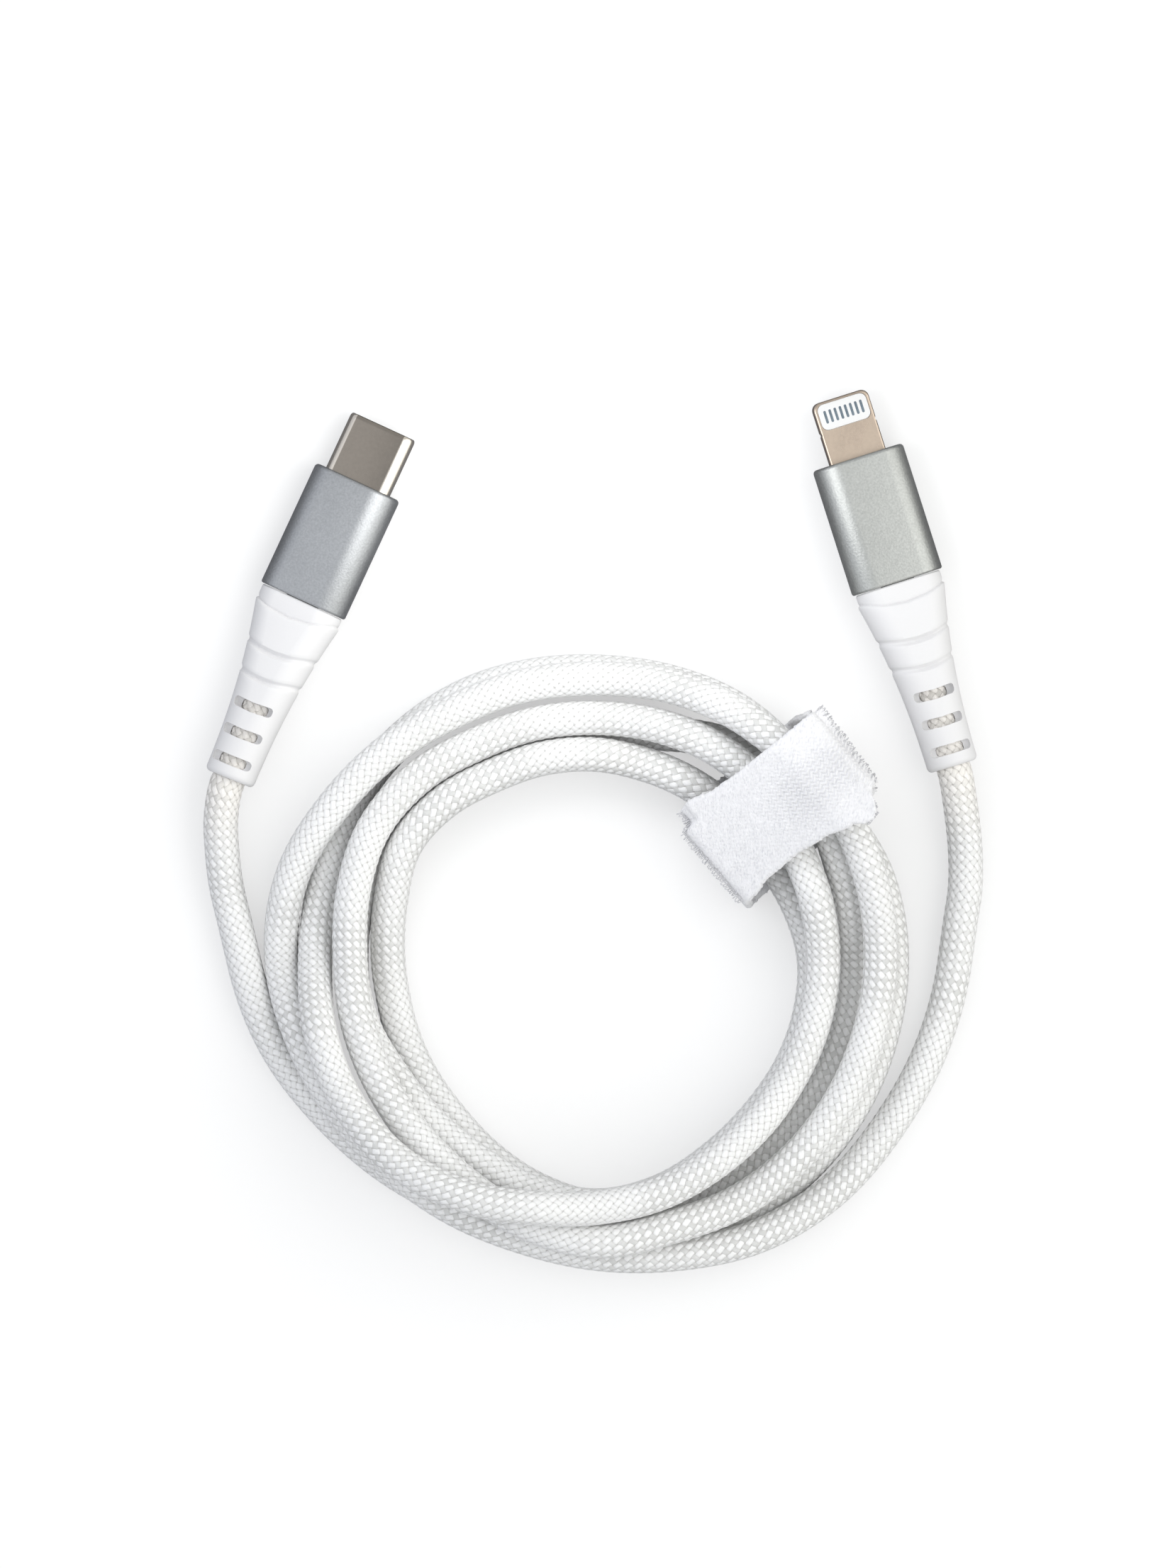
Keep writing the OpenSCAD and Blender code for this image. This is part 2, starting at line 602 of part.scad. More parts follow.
module tab_plug_tongue() {
    color([0.72, 0.66, 0.60]) in_tab_plug() difference() {
        union() {
            translate([0, 0, -tongue_t / 2]) linear_extrude(tongue_t) tongue_outline();
            stadium_bar(cavity_w(tab_sleeve_w) - 2 * pass, 2 * tongue_t, -flange_at, tongue_flange_l);
        }
        pad_block(0, tongue_t + 2 * over);
        box_bar(pad_w - 2 * pad_corner, core_t, tongue_out - pad_rim - pad_l / 2,
            tongue_out + tongue_in + over);
        for (side = [-1, 1]) translate([side * tongue_w / 2, notch_at, -over - tongue_t])
            cylinder(r = notch_r, h = 2 * over + 2 * tongue_t);
    }
}
module tab_plug_contact_insulator() {
    color([0.92, 0.91, 0.89]) in_tab_plug() difference() {
        union() {
            pad_block(insulator_gap, tongue_t);
            box_bar(pad_w - 2 * pad_corner - 2 * insulator_gap, core_t - 2 * insulator_gap,
                tongue_out - pad_rim - pad_l / 2, tongue_out - pad_rim - pad_l / 2 + tongue_in);
        }
        tab_contact_row(1, insulator_gap);
        tab_contact_row(-1, insulator_gap);
    }
}
module tab_plug_upper_contacts() {
    color([0.36, 0.39, 0.43]) in_tab_plug() tab_contact_row(1, 0);
}
module tab_plug_lower_contacts() {
    color([0.36, 0.39, 0.43]) in_tab_plug() tab_contact_row(-1, 0);
}
module tab_plug_board() {
    color([0.10, 0.32, 0.22]) in_tab_plug() plug_board(board_at - tongue_in - pass);
}
module tab_plug_board_chips() {
    color([0.10, 0.10, 0.11]) in_tab_plug() plug_chips();
}
module tab_plug_shield_can() {
    color([0.74, 0.74, 0.73]) in_tab_plug() plug_shield_can(tab_sleeve_w);
}
module tab_plug_inner_mould() {
    color([0.86, 0.86, 0.84]) in_tab_plug() plug_inner_mould(tab_sleeve_w);
}
module tab_plug_sleeve() {
    color([0.66, 0.68, 0.67]) in_tab_plug() plug_sleeve(tab_sleeve_w)
        box_bar(tongue_w + 2 * pass, tongue_t + 2 * pass, over, sleeve_front + 2 * over);
}
module tab_plug_relief() {
    color([0.93, 0.93, 0.93]) in_tab_plug() place_relief(tab_relief_lean) plug_relief();
}
module tab_plug_conductors() {
    color([0.75, 0.20, 0.16]) in_tab_plug() plug_conductors();
}
module tab_plug_jacket_end() {
    color([0.93, 0.93, 0.91]) in_tab_plug() place_relief(tab_relief_lean) plug_jacket_end();
}

// ---- The strap ----
// Each run is drawn as its section, distance from the bundle's centre against height, and
// the strap narrows towards its outer end.
strap_inner_at = 17.6;
strap_mid = strap_t / 2;
// The strand that the strap turns over: its distance, its layer and its height
high_strand_at = 32.2;
high_strand_layer = 2.05;
high_strand_z = cord_d / 2 + high_strand_layer * (cord_d + strand_gap) + strap_lift;
// Least bend of the strap's middle line over a strand, and in a fold
strand_bend = cord_d / 2 + strap_slack + strap_mid;
fold_bend = 1.2;
// Outer side of the bundle's lowest strands, where the under run turns up
low_strands_out = 34.2;
side_lean = 0.5;
tab_z = 5.35;
over_tab_z = tab_z + strap_t + strap_slack;
hinge_at = [strap_inner_at + strap_mid, 2 * (cord_d + strand_gap) + pass];
side_at = high_strand_at + strand_bend;
strap_end_at = side_at + side_lean + strap_tab;
// The over run rises from the inner fold so that it just clears the high strand
high_strand = [high_strand_at, high_strand_z] - hinge_at;
strap_slope = atan2(high_strand.y, high_strand.x) + asin(strand_bend / norm(high_strand));
corner_z = hinge_at.y + (side_at - hinge_at.x) * tan(strap_slope);

// Corners of each run's middle line, each with the radius of its bend
under_line = [[hinge_at.x, hinge_at.y - strap_mid - strap_slack, 0],
    [hinge_at.x, strap_mid, fold_bend], [low_strands_out, strap_mid, fold_bend],
    [side_at + side_lean, tab_z, fold_bend], [strap_end_at - strap_under_step, tab_z, 0]];
over_line = [[hinge_at.x, hinge_at.y, 0], [side_at, corner_z, strand_bend],
    [side_at + side_lean, over_tab_z, fold_bend], [strap_end_at, over_tab_z, 0]];

bend_steps = 10;
function flat(v) = [v.x, v.y];
// Points along the arc that rounds the corner b between a and c
function bend(a, b, c) =
    let (u = unit(flat(a) - flat(b)), w = unit(flat(c) - flat(b)),
         half = acos(u * w) / 2, middle = flat(b) + unit(u + w) * b[2] / sin(half),
         from = flat(b) + u * b[2] / tan(half) - middle,
         side = sign(u.x * w.y - u.y * w.x))
    [for (i = [0:bend_steps])
        let (t = -side * i * (180 - 2 * half) / bend_steps)
        middle + [from.x * cos(t) - from.y * sin(t), from.x * sin(t) + from.y * cos(t)]];
function rounded_line(k) = concat([flat(k[0])],
    [for (i = [1:len(k) - 2]) each bend(k[i - 1], k[i], k[i + 1])], [flat(k[len(k) - 1])]);
function line_normal(p, i) =
    let (d = unit(p[min(i + 1, len(p) - 1)] - p[max(i - 1, 0)])) [-d.y, d.x];
// Points of the half circle that rounds the start of a line
function round_start(p) =
    let (n = line_normal(p, 0))
    [for (i = [1:bend_steps - 1])
        let (t = -180 + i * 180 / bend_steps)
        p[0] + strap_mid * [n.x * cos(t) - n.y * sin(t), n.x * sin(t) + n.y * cos(t)]];
module band_section(line, rounded = false) {
    p = rounded_line(line);
    polygon(concat(rounded ? round_start(p) : [],
        [for (i = [0:len(p) - 1]) p[i] + strap_mid * line_normal(p, i)],
        [for (i = [len(p) - 1:-1:0]) p[i] - strap_mid * line_normal(p, i)]));
}
module strap_plan() {
    top = corner_z + strap_t;
    linear_extrude(top) polygon([
        [strap_inner_at - over, -strap_inner_w / 2], [strap_end_at + over, -strap_outer_w / 2],
        [strap_end_at + over, strap_outer_w / 2], [strap_inner_at - over, strap_inner_w / 2]]);
}
module strap_band() {
    translate(coil_at) rotate([0, 0, strap_heading]) intersection() {
        rotate([90, 0, 0]) translate([0, 0, -strap_inner_w]) linear_extrude(2 * strap_inner_w)
            children();
        strap_plan();
    }
}
module strap_wrap() {
    color([0.95, 0.95, 0.97]) strap_band() band_section(under_line);
}
module strap_flap() {
    color([0.95, 0.95, 0.97]) strap_band() band_section(over_line, rounded = true);
}

oval_plug_shell();
oval_plug_insulator();
oval_plug_upper_contacts();
oval_plug_lower_contacts();
oval_plug_ground_springs();
oval_plug_latch();
oval_plug_board();
oval_plug_board_chips();
oval_plug_shield_can();
oval_plug_inner_mould();
oval_plug_sleeve();
oval_plug_relief();
oval_plug_conductors();
oval_plug_jacket_end();
tab_plug_tongue();
tab_plug_contact_insulator();
tab_plug_upper_contacts();
tab_plug_lower_contacts();
tab_plug_board();
tab_plug_board_chips();
tab_plug_shield_can();
tab_plug_inner_mould();
tab_plug_sleeve();
tab_plug_relief();
tab_plug_conductors();
tab_plug_jacket_end();
oval_lead();
cord_coil();
tab_lead();
strap_wrap();
strap_flap();
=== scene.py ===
# Charging cable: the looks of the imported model, in metres and in the model's own frame.
import math
import random
import bmesh
import bpy
from mathutils import Matrix, Vector, noise


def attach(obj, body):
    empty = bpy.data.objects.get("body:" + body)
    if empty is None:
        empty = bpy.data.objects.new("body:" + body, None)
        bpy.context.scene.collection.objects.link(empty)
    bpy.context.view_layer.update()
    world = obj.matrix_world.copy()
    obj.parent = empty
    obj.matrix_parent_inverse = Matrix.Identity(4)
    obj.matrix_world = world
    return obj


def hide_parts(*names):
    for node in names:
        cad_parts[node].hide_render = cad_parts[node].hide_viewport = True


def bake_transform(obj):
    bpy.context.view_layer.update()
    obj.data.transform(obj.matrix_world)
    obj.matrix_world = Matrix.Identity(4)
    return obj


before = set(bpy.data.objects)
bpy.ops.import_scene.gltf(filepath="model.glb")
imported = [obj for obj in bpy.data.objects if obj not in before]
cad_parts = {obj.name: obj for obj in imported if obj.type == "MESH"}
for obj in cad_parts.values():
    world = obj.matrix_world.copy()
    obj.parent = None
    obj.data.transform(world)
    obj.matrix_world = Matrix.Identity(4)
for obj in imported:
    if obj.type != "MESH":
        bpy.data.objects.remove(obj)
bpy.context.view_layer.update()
mm = 0.001
random.seed(11)


# Camera, floor and light
camera = {"lookAt": (-0.49, -15.83), "planeHeight": 6, "distance": 2500, "frameHeight": 179.1, "film": 24}
lights = {"world": 0.84, "leftTint": (0.90, 0.93, 1.0, 1), "rightTint": (1.0, 1.0, 0.955, 1),
          "tintRange": (-0.6, 0.6),
          "rightSoftbox": {"place": (540, -20, 450), "size": (800, 800), "power": 2.2, "aim": (0, -20, 0)},
          "leftSoftbox": {"place": (-540, 40, 450), "size": (600, 600), "power": 0.4, "aim": (0, -20, 0)},
          "middleLamp": {"place": (-4, 17, 47), "size": (42, 30), "power": 0.0105, "aim": (-4, 17, 0)}}


def deselectAll():
    if bpy.context.object and bpy.context.object.mode != "OBJECT":
        bpy.ops.object.mode_set(mode="OBJECT")
    bpy.ops.object.select_all(action="DESELECT")


def makeActive(piece):
    deselectAll()
    piece.select_set(True)
    bpy.context.view_layer.objects.active = piece


def placeCamera():
    x, y = camera["lookAt"]
    bpy.ops.object.camera_add(location=(x * mm, y * mm, (camera["planeHeight"] + camera["distance"]) * mm))
    eye = bpy.context.object
    eye.name = "viewCamera"
    eye.data.sensor_fit = "VERTICAL"
    eye.data.sensor_height = camera["film"]
    eye.data.lens = camera["film"] * camera["distance"] / camera["frameHeight"]
    bpy.context.scene.camera = eye


def placeLamp(name):
    look = lights[name]
    bpy.ops.object.light_add(type="AREA", location=[c * mm for c in look["place"]])
    lamp = bpy.context.object
    lamp.name = name
    lamp.data.shape = "RECTANGLE"
    lamp.data.size, lamp.data.size_y = (c * mm for c in look["size"])
    lamp.data.energy = look["power"]
    aim = Vector(look["aim"]) * mm - lamp.location
    lamp.rotation_euler = aim.to_track_quat("-Z", "Y").to_euler()
    lamp.visible_camera = False


print("stage: camera, floor and light")
deselectAll()
bpy.context.scene.view_settings.view_transform = "Standard"
placeCamera()
for lampName in ("rightSoftbox", "leftSoftbox", "middleLamp"):
    placeLamp(lampName)


# Helpers for materials
def startMaterial(name):
    material = bpy.data.materials.new(name)
    material.use_nodes = True
    return material, material.node_tree, material.node_tree.nodes["Principled BSDF"]


def addNode(tree, kind, **settings):
    node = tree.nodes.new(kind)
    for key, value in settings.items():
        setattr(node, key, value)
    return node


def feed(tree, socket, value):
    if isinstance(value, bpy.types.NodeSocket):
        tree.links.new(value, socket)
    elif value is not None:
        socket.default_value = value


def feedAll(tree, node, values):
    for label, value in values.items():
        feed(tree, node.inputs[label], value)
    return node


def wired(tree, kind, values, **settings):
    return feedAll(tree, addNode(tree, kind, **settings), values)


def calc(tree, operation, *values, kind="ShaderNodeMath", out=0):
    node = addNode(tree, kind, operation=operation)
    for socket, value in zip(node.inputs, values):
        feed(tree, socket, value)
    return node.outputs[out]


def vectorCalc(tree, operation, *values, out=0):
    return calc(tree, operation, *values, kind="ShaderNodeVectorMath", out=out)


def mixColour(tree, factor, first, second):
    node = addNode(tree, "ShaderNodeMix", data_type="RGBA")
    for key, value in (("Factor_Float", factor), ("A_Color", first), ("B_Color", second)):
        feed(tree, next(s for s in node.inputs if s.identifier == key), value)
    return next(s for s in node.outputs if s.identifier == "Result_Color")


def ramp(tree, value, fromLow, fromHigh, toLow=0.0, toHigh=1.0):
    node = addNode(tree, "ShaderNodeMapRange")
    for socket, number in zip(node.inputs, (value, fromLow, fromHigh, toLow, toHigh)):
        feed(tree, socket, number)
    return node.outputs[0]


# A node group with its inputs' plain values: None for a place, four numbers for a colour
def startGroup(name, inputs, outputs):
    group = bpy.data.node_groups.new(name, "ShaderNodeTree")
    for label, value in inputs.items():
        kind = "Vector" if value is None else "Color" if isinstance(value, tuple) else "Float"
        socket = group.interface.new_socket(name=label, in_out="INPUT", socket_type="NodeSocket" + kind)
        if value is not None:
            socket.default_value = value
    for label in outputs:
        kind = "Color" if label == "Colour" else "Float"
        group.interface.new_socket(name=label, in_out="OUTPUT", socket_type="NodeSocket" + kind)
    return group, addNode(group, "NodeGroupInput").outputs, addNode(group, "NodeGroupOutput")


def useGroup(tree, group, **values):
    return wired(tree, "ShaderNodeGroup", values, node_tree=group)


def objectPlace(tree):
    return addNode(tree, "ShaderNodeTexCoord").outputs["Object"]


def noiseNode(tree, place, scale, detail=2):
    return wired(tree, "ShaderNodeTexNoise", {"Vector": place, "Scale": scale, "Detail": detail}).outputs


def splitPlace(tree, place):
    return wired(tree, "ShaderNodeSeparateXYZ", {"Vector": place}).outputs


# What the camera sees, straight or through something clear
def seenRays(tree):
    path = addNode(tree, "ShaderNodeLightPath").outputs
    return path, calc(tree, "MAXIMUM", path["Is Camera Ray"], path["Is Transmission Ray"])


def bumpInto(tree, shader, height, strength, distance):
    node = wired(tree, "ShaderNodeBump", {"Strength": strength, "Distance": distance, "Height": height})
    tree.links.new(node.outputs["Normal"], shader.inputs["Normal"])


# Cells of two crossing sets of yarns, as a braid shows them: x counts pitches, y counts columns
def braidGroup():
    group, entry, leave = startGroup(
        "braidYarns", {"Place": None, "Pitch": cord["pitch"], "Column": 0.524, "Half Length": cord["cellL"],
                       "Half Width": cord["cellW"], "Under": cord["under"]}, ("Height", "Lean", "Thread"))
    place = splitPlace(group, entry["Place"])
    pitch, column = entry["Pitch"], entry["Column"]

    def do(operation, *values):
        return calc(group, operation, *values)
    angle = do("ARCTAN2", do("MULTIPLY", column, 2.0), pitch)
    cosine, sine = do("COSINE", angle), do("SINE", angle)
    heights, threads = [], []
    for shift, side in ((0.5, 1.0), (0.0, -1.0)):
        along = do("FRACT", do("ADD", place["X"], shift))
        along = do("MULTIPLY", do("SUBTRACT", along, 0.5), pitch)
        across = do("FRACT", do("MULTIPLY_ADD", place["Y"], 0.5, shift))
        across = do("MULTIPLY", do("SUBTRACT", across, 0.5), do("MULTIPLY", column, 2.0))
        slant = do("MULTIPLY", sine, side)
        lengthwise = do("ADD", do("MULTIPLY", along, cosine), do("MULTIPLY", across, slant))
        crosswise = do("SUBTRACT", do("MULTIPLY", across, cosine), do("MULTIPLY", along, slant))
        domes = []
        for distance, half in ((lengthwise, "Half Length"), (crosswise, "Half Width")):
            share = do("POWER", do("ABSOLUTE", do("DIVIDE", distance, entry[half])), 2.0)
            domes.append(do("SQRT", do("MAXIMUM", do("SUBTRACT", 1.0, share), 0.0)))
        height = do("MULTIPLY", domes[0], domes[1])
        heights.append(height if side > 0 else do("MULTIPLY", height, entry["Under"]))
        threads.append(do("SINE", do("MULTIPLY", crosswise, cord["threads"])))
    lean = do("GREATER_THAN", heights[1], heights[0])
    thread = do("ADD", do("MULTIPLY", threads[1], lean),
                do("MULTIPLY", threads[0], do("SUBTRACT", 1.0, lean)))
    feedAll(group, leave, {"Height": do("MAXIMUM", heights[0], heights[1]), "Lean": lean, "Thread": thread})
    return group


# The braided cord
cord = {"diameter": 4, "pitch": 1.15, "columns": 24, "ringsPerPitch": 4, "low": 1.86, "rise": 0.15,
        "cellL": 0.52, "cellW": 0.35, "under": 0.82, "sway": (0.3, 0.48, 0), "threads": 52.0,
        "routeSteps": 4000, "leadSteps": 12, "coilStep": 2, "pathEvery": 8,
        "strandGap": 0.45, "strapLift": 1.6, "liftFrom": -2, "liftTo": 84, "liftRamp": 24}
# The yarn's looks: each range is that of a noise or a height, with what it turns into where four are given
# Painted shade: the shaded and dim colours darken the yarns of one lean, the pit colour the hollows between
# the cells
yarnLook = {"white": (1.0, 1.0, 0.995, 1), "shaded": (0.97, 0.97, 0.96, 1), "dimShade": (0.73, 0.73, 0.715, 1),
            "pitShade": (0.60, 0.59, 0.57, 1), "cream": (1.0, 0.965, 0.92, 1), "creamRun": 24, "creamFade": 8,
            "driftScale": 85, "speckScale": 1300, "dimShadeRange": (0.38, 0.60), "leanShadeRange": (0.25, 0.5, 0.55, 1),
            "pitShadeRange": (0.05, 0.6), "roughRange": (0.3, 0.7, 0.42, 0.55), "sheen": 0.5, "sheenRough": 0.4,
            "threadHigh": 0.07, "speckHigh": 0.12, "bump": 0.7, "bumpDepth": 0.00025}
coilCentre = (0.69, -35.58)
# Each turn's knots: angle, radius and layer
coilTurns = [
    [[180, 40.6, 0], [195, 38.3, 0], [210, 35.8, 0], [225, 34, 0], [240, 32.7, 0],
     [255, 32.6, 0], [270, 33.1, 0], [285, 33.5, 0], [315, 33.8, 0], [345, 33.7, 0], [375, 33.3, 0],
     [390, 31.9, 0], [420, 28.3, 0], [435, 26.4, 0], [450, 25.1, 0], [465, 25.3, 0],
     [495, 27.1, 0], [510, 27.9, 0]],
    [[180, 28.2, 0], [195, 28, 0.45], [210, 27.1, 0.8], [225, 26.9, 0.92],
     [240, 27.1, 1], [255, 27.9, 1], [270, 28.4, 1], [285, 27.7, 0.92],
     [300, 26.5, 0.7], [315, 25.7, 0.34], [330, 25.4, 0], [345, 25.1, 0], [360, 24.7, 0],
     [375, 23.6, 0], [390, 22.6, 0], [405, 22.3, 0.15], [435, 22.6, 0.6],
     [450, 23.1, 0.9], [465, 23.5, 0.93], [480, 23.9, 0.9], [495, 24.9, 0.88],
     [510, 25.4, 0.75], [525, 24.5, 0.42]],
    [[180, 24, 0.05], [195, 23.9, 0], [225, 24.8, 0], [240, 26, 0],
     [255, 27.5, 0], [270, 28.8, 0], [285, 29.3, 0], [300, 29.6, 0],
     [315, 29.7, 0], [345, 29.4, 0], [360, 29.1, 0.1],
     [375, 29.4, 0.6], [390, 30.2, 1], [405, 31.5, 1], [420, 32.4, 0.5],
     [435, 32.5, 0.1], [450, 32.6, 0], [480, 33.5, 0], [510, 33.2, 0],
     [525, 32.4, 0]],
    [[180, 32.3, 0.5], [195, 32.8, 1.8], [210, 33, 2.1], [225, 32.6, 2.55],
     [240, 31.2, 2.9], [255, 29.5, 2.85], [270, 28.5, 2.3], [285, 27.8, 1.97],
     [300, 26.9, 1.74], [315, 26.3, 1.4], [330, 25.9, 1.05], [360, 25.7, 1.05],
     [375, 25.7, 1.25], [390, 25.8, 1.25], [405, 26.9, 1.25], [420, 27.3, 1.02],
     [435, 27.3, 1], [450, 27.3, 0.92], [465, 27.6, 0.92], [480, 28, 0.92],
     [495, 29, 0.95], [510, 29.5, 1], [525, 28.9, 1.05]],
    [[180, 28.3, 1.05], [195, 28.4, 1.55], [210, 28.6, 1.8], [225, 29.1, 1.84],
     [240, 30, 1.8], [255, 31.4, 1.9], [270, 32.4, 1.97], [285, 31.9, 1.65],
     [300, 32.2, 1.15], [315, 32.2, 1.05], [345, 32.2, 1.05], [360, 32.3, 1.15],
     [375, 32.4, 1.55], [390, 32.4, 1.9], [405, 31.9, 2.05], [420, 32, 1.6],
     [435, 32, 1.15], [450, 31.8, 1], [465, 32.1, 1], [480, 32.5, 1],
     [495, 33.5, 1], [510, 34.7, 0.95], [525, 36.1, 0.55]],
    [[180, 36.2, 0.1], [195, 35.1, 0.85], [210, 34.1, 1], [225, 33.4, 1],
     [240, 33.1, 1], [255, 33.1, 1], [270, 33.9, 1], [285, 35.1, 0.93], [300, 36.8, 0.65],
     [315, 37.9, 0.25], [330, 38.5, 0], [345, 39.6, 0], [360, 40.9, 0]]]
coilKnots = [(a + 360 * i, r, layer) for i, turn in enumerate(coilTurns) for a, r, layer in turn]

# Where each plug sits: its sleeve's front face, its turn from +Y, its roll and its relief's lean
plugs = {
    "oval": {"at": (-26.72, 18.71), "heading": -24.9, "roll": -15, "lean": 2.5, "sleeveW": 10.7,
             "leadPoints": [(-42.4, -19.8, 3.3), (-42.15, -24.8, 2.5)]},
    "tab": {"at": (30.37, 21.54), "heading": 17.7, "roll": 8, "lean": -0.9, "sleeveW": 10.85,
            "leadPoints": [(42.2, -18.6, 2.9), (42.7, -23.3, 2.3)]}}
sleeveL, sleeveT, reliefL = 15, 6, 22
jacketEnd, leadStraight = 3, 1


# A plug's own frame in millimetres, whose +Y points out of the tip
def plugFrame(plug):
    roll = math.radians(plug["roll"])
    height = sleeveT / 2 + (plug["sleeveW"] - sleeveT) / 2 * math.sin(abs(roll))
    return (Matrix.Translation((*plug["at"], height))
            @ Matrix.Rotation(math.radians(plug["heading"]), 4, "Z") @ Matrix.Rotation(roll, 4, "Y"))


def reliefFrame(plug):
    return (plugFrame(plug) @ Matrix.Translation((0, -sleeveL, 0))
            @ Matrix.Rotation(math.radians(plug["lean"]), 4, "Z"))


# A cubic between two values with a slope at each
def cubic(t, first, slope, last, lastSlope):
    return ((2 * t ** 3 - 3 * t * t + 1) * first + (t ** 3 - 2 * t * t + t) * slope
            + (3 * t * t - 2 * t ** 3) * last + (t ** 3 - t * t) * lastSlope)


def knotSlope(i, k):
    a, b = coilKnots[max(i - 1, 0)], coilKnots[min(i + 1, len(coilKnots) - 1)]
    return (b[k] - a[k]) / (b[0] - a[0])


def knotValue(angle, k):
    i = max(0, max((j for j in range(len(coilKnots) - 1) if coilKnots[j][0] <= angle), default=0))
    a, b = coilKnots[i], coilKnots[i + 1]
    w = b[0] - a[0]
    return cubic((angle - a[0]) / w, a[k], w * knotSlope(i, k), b[k], w * knotSlope(i + 1, k))


def smoothRamp(t):
    t = min(1, max(0, t))
    return t * t * (3 - 2 * t)


def coilPoint(angle):
    turned = (angle + 180) % 360 - 180
    lift = cord["strapLift"] * min(smoothRamp((turned - cord["liftFrom"]) / cord["liftRamp"]),
                                   smoothRamp((cord["liftTo"] - turned) / cord["liftRamp"]))
    r = knotValue(angle, 1)
    z = cord["diameter"] / 2 + max(0, knotValue(angle, 2)) * (cord["diameter"] + cord["strandGap"]) + lift
    a = math.radians(angle)
    return Vector((coilCentre[0] + r * math.cos(a), coilCentre[1] + r * math.sin(a), z))


# Points on a curve through the given points, each span in equal steps
def curveThrough(points, steps):
    ends = [2 * points[0] - points[1]] + points + [2 * points[-1] - points[-2]]
    line = []
    for i in range(1, len(ends) - 2):
        p0, p1, p2, p3 = ends[i - 1:i + 3]
        d01, d12, d23 = ((b - a).length ** 0.5 for a, b in ((p0, p1), (p1, p2), (p2, p3)))
        m1 = p2 - p1 + d12 * ((p1 - p0) / d01 - (p2 - p0) / (d01 + d12))
        m2 = p2 - p1 + d12 * ((p3 - p2) / d23 - (p3 - p1) / (d12 + d23))
        line += [cubic(j / steps, p1, m1, p2, m2) for j in range(steps)]
    return line + [points[-1]]


def cordRoute():
    first, last = coilKnots[0][0], coilKnots[-1][0]
    coil = [coilPoint(first + i) for i in range(0, int(last - first) + 1, cord["coilStep"])]
    into, out = (coil[1] - coil[0]).normalized(), (coil[-1] - coil[-2]).normalized()
    d = cord["diameter"]

    def lead(plug, end, run):
        seat = reliefFrame(plug)
        inside = [seat @ Vector((0, -y, 0)) for y in
                  (jacketEnd, (jacketEnd + reliefL) / 2, reliefL, reliefL + leadStraight)]
        points = inside + [Vector(p) for p in plug["leadPoints"]] + [end + d * run, end]
        return curveThrough(points, cord["leadSteps"])
    ovalLead = lead(plugs["oval"], coil[0] - d * into, -into)
    tabLead = lead(plugs["tab"], coil[-1] + d * out, out)
    return ovalLead[:-1] + coil + tabLead[::-1][1:]


def runLengths(line):
    lengths = [0]
    for a, b in zip(line, line[1:]):
        lengths.append(lengths[-1] + (b - a).length)
    return lengths


# The same line again, with its points at even distances
def evenPoints(line, count):
    lengths = runLengths(line)
    even, j = [], 0
    for i in range(count + 1):
        s = lengths[-1] * i / count
        while j < len(line) - 2 and lengths[j + 1] < s:
            j += 1
        even.append(line[j].lerp(line[j + 1], (s - lengths[j]) / (lengths[j + 1] - lengths[j])))
    return even, lengths[-1]


def braidHeight(x, y):
    c, p = math.pi * cord["diameter"] / cord["columns"], cord["pitch"]
    a = math.atan2(2 * c, p)
    best = 0
    for shift, side in ((0.5, 1), (0, -1)):
        along = ((x + shift) % 1 - 0.5) * p
        across = ((y / 2 + shift) % 1 - 0.5) * 2 * c
        lengthwise = along * math.cos(a) + across * side * math.sin(a)
        crosswise = across * math.cos(a) - along * side * math.sin(a)
        best = max(best, math.sqrt(max(0, 1 - (lengthwise / cord["cellL"]) ** 2)
                                   * max(0, 1 - (crosswise / cord["cellW"]) ** 2)))
    return best


# A mesh skinned over rings of points, with a UV for each ring and column
def skinRings(name, rings, uvOf):
    mesh, count = bpy.data.meshes.new(name), len(rings[0])
    bm = bmesh.new()
    uvLayer = bm.loops.layers.uv.new("surface")
    verts = [[bm.verts.new(p) for p in ring] for ring in rings]
    for i in range(len(rings) - 1):
        for j in range(count):
            k = (j + 1) % count
            face = bm.faces.new((verts[i][j], verts[i][k], verts[i + 1][k], verts[i + 1][j]))
            face.smooth = True
            for loop, (a, b) in zip(face.loops, ((i, j), (i, j + 1), (i + 1, j + 1), (i + 1, j))):
                loop[uvLayer].uv = uvOf(a, b)
    bm.faces.new(verts[0][::-1])
    bm.faces.new(verts[-1])
    bmesh.ops.recalc_face_normals(bm, faces=bm.faces)
    bm.to_mesh(mesh)
    bm.free()
    piece = bpy.data.objects.new(name, mesh)
    bpy.context.scene.collection.objects.link(piece)
    return piece


def buildCord():
    route, length = evenPoints(cordRoute(), cord["routeSteps"])
    count = round(length / cord["pitch"] * cord["ringsPerPitch"])
    points, length = evenPoints(route, count)
    side = Vector((0, 0, 1)).cross(points[1] - points[0]).normalized()
    rings = []
    for i, p in enumerate(points):
        ahead = (points[min(i + 1, count)] - points[max(i - 1, 0)]).normalized()
        side = (side - side.dot(ahead) * ahead).normalized()
        up = ahead.cross(side)
        ring = []
        for j in range(cord["columns"]):
            r = cord["low"] + cord["rise"] * braidHeight(i / cord["ringsPerPitch"], j)
            t = 2 * math.pi * j / cord["columns"]
            at = p + r * (math.cos(t) * up + math.sin(t) * side)
            # The yarns flatten where the cord rests on the floor
            at.z = max(at.z, 0)
            ring.append(at * mm)
        rings.append(ring)
    piece = skinRings("braidedCord", rings, lambda i, j: (i / cord["ringsPerPitch"], j))
    return piece, [list(p * mm) for p in points[::cord["pathEvery"]]], length


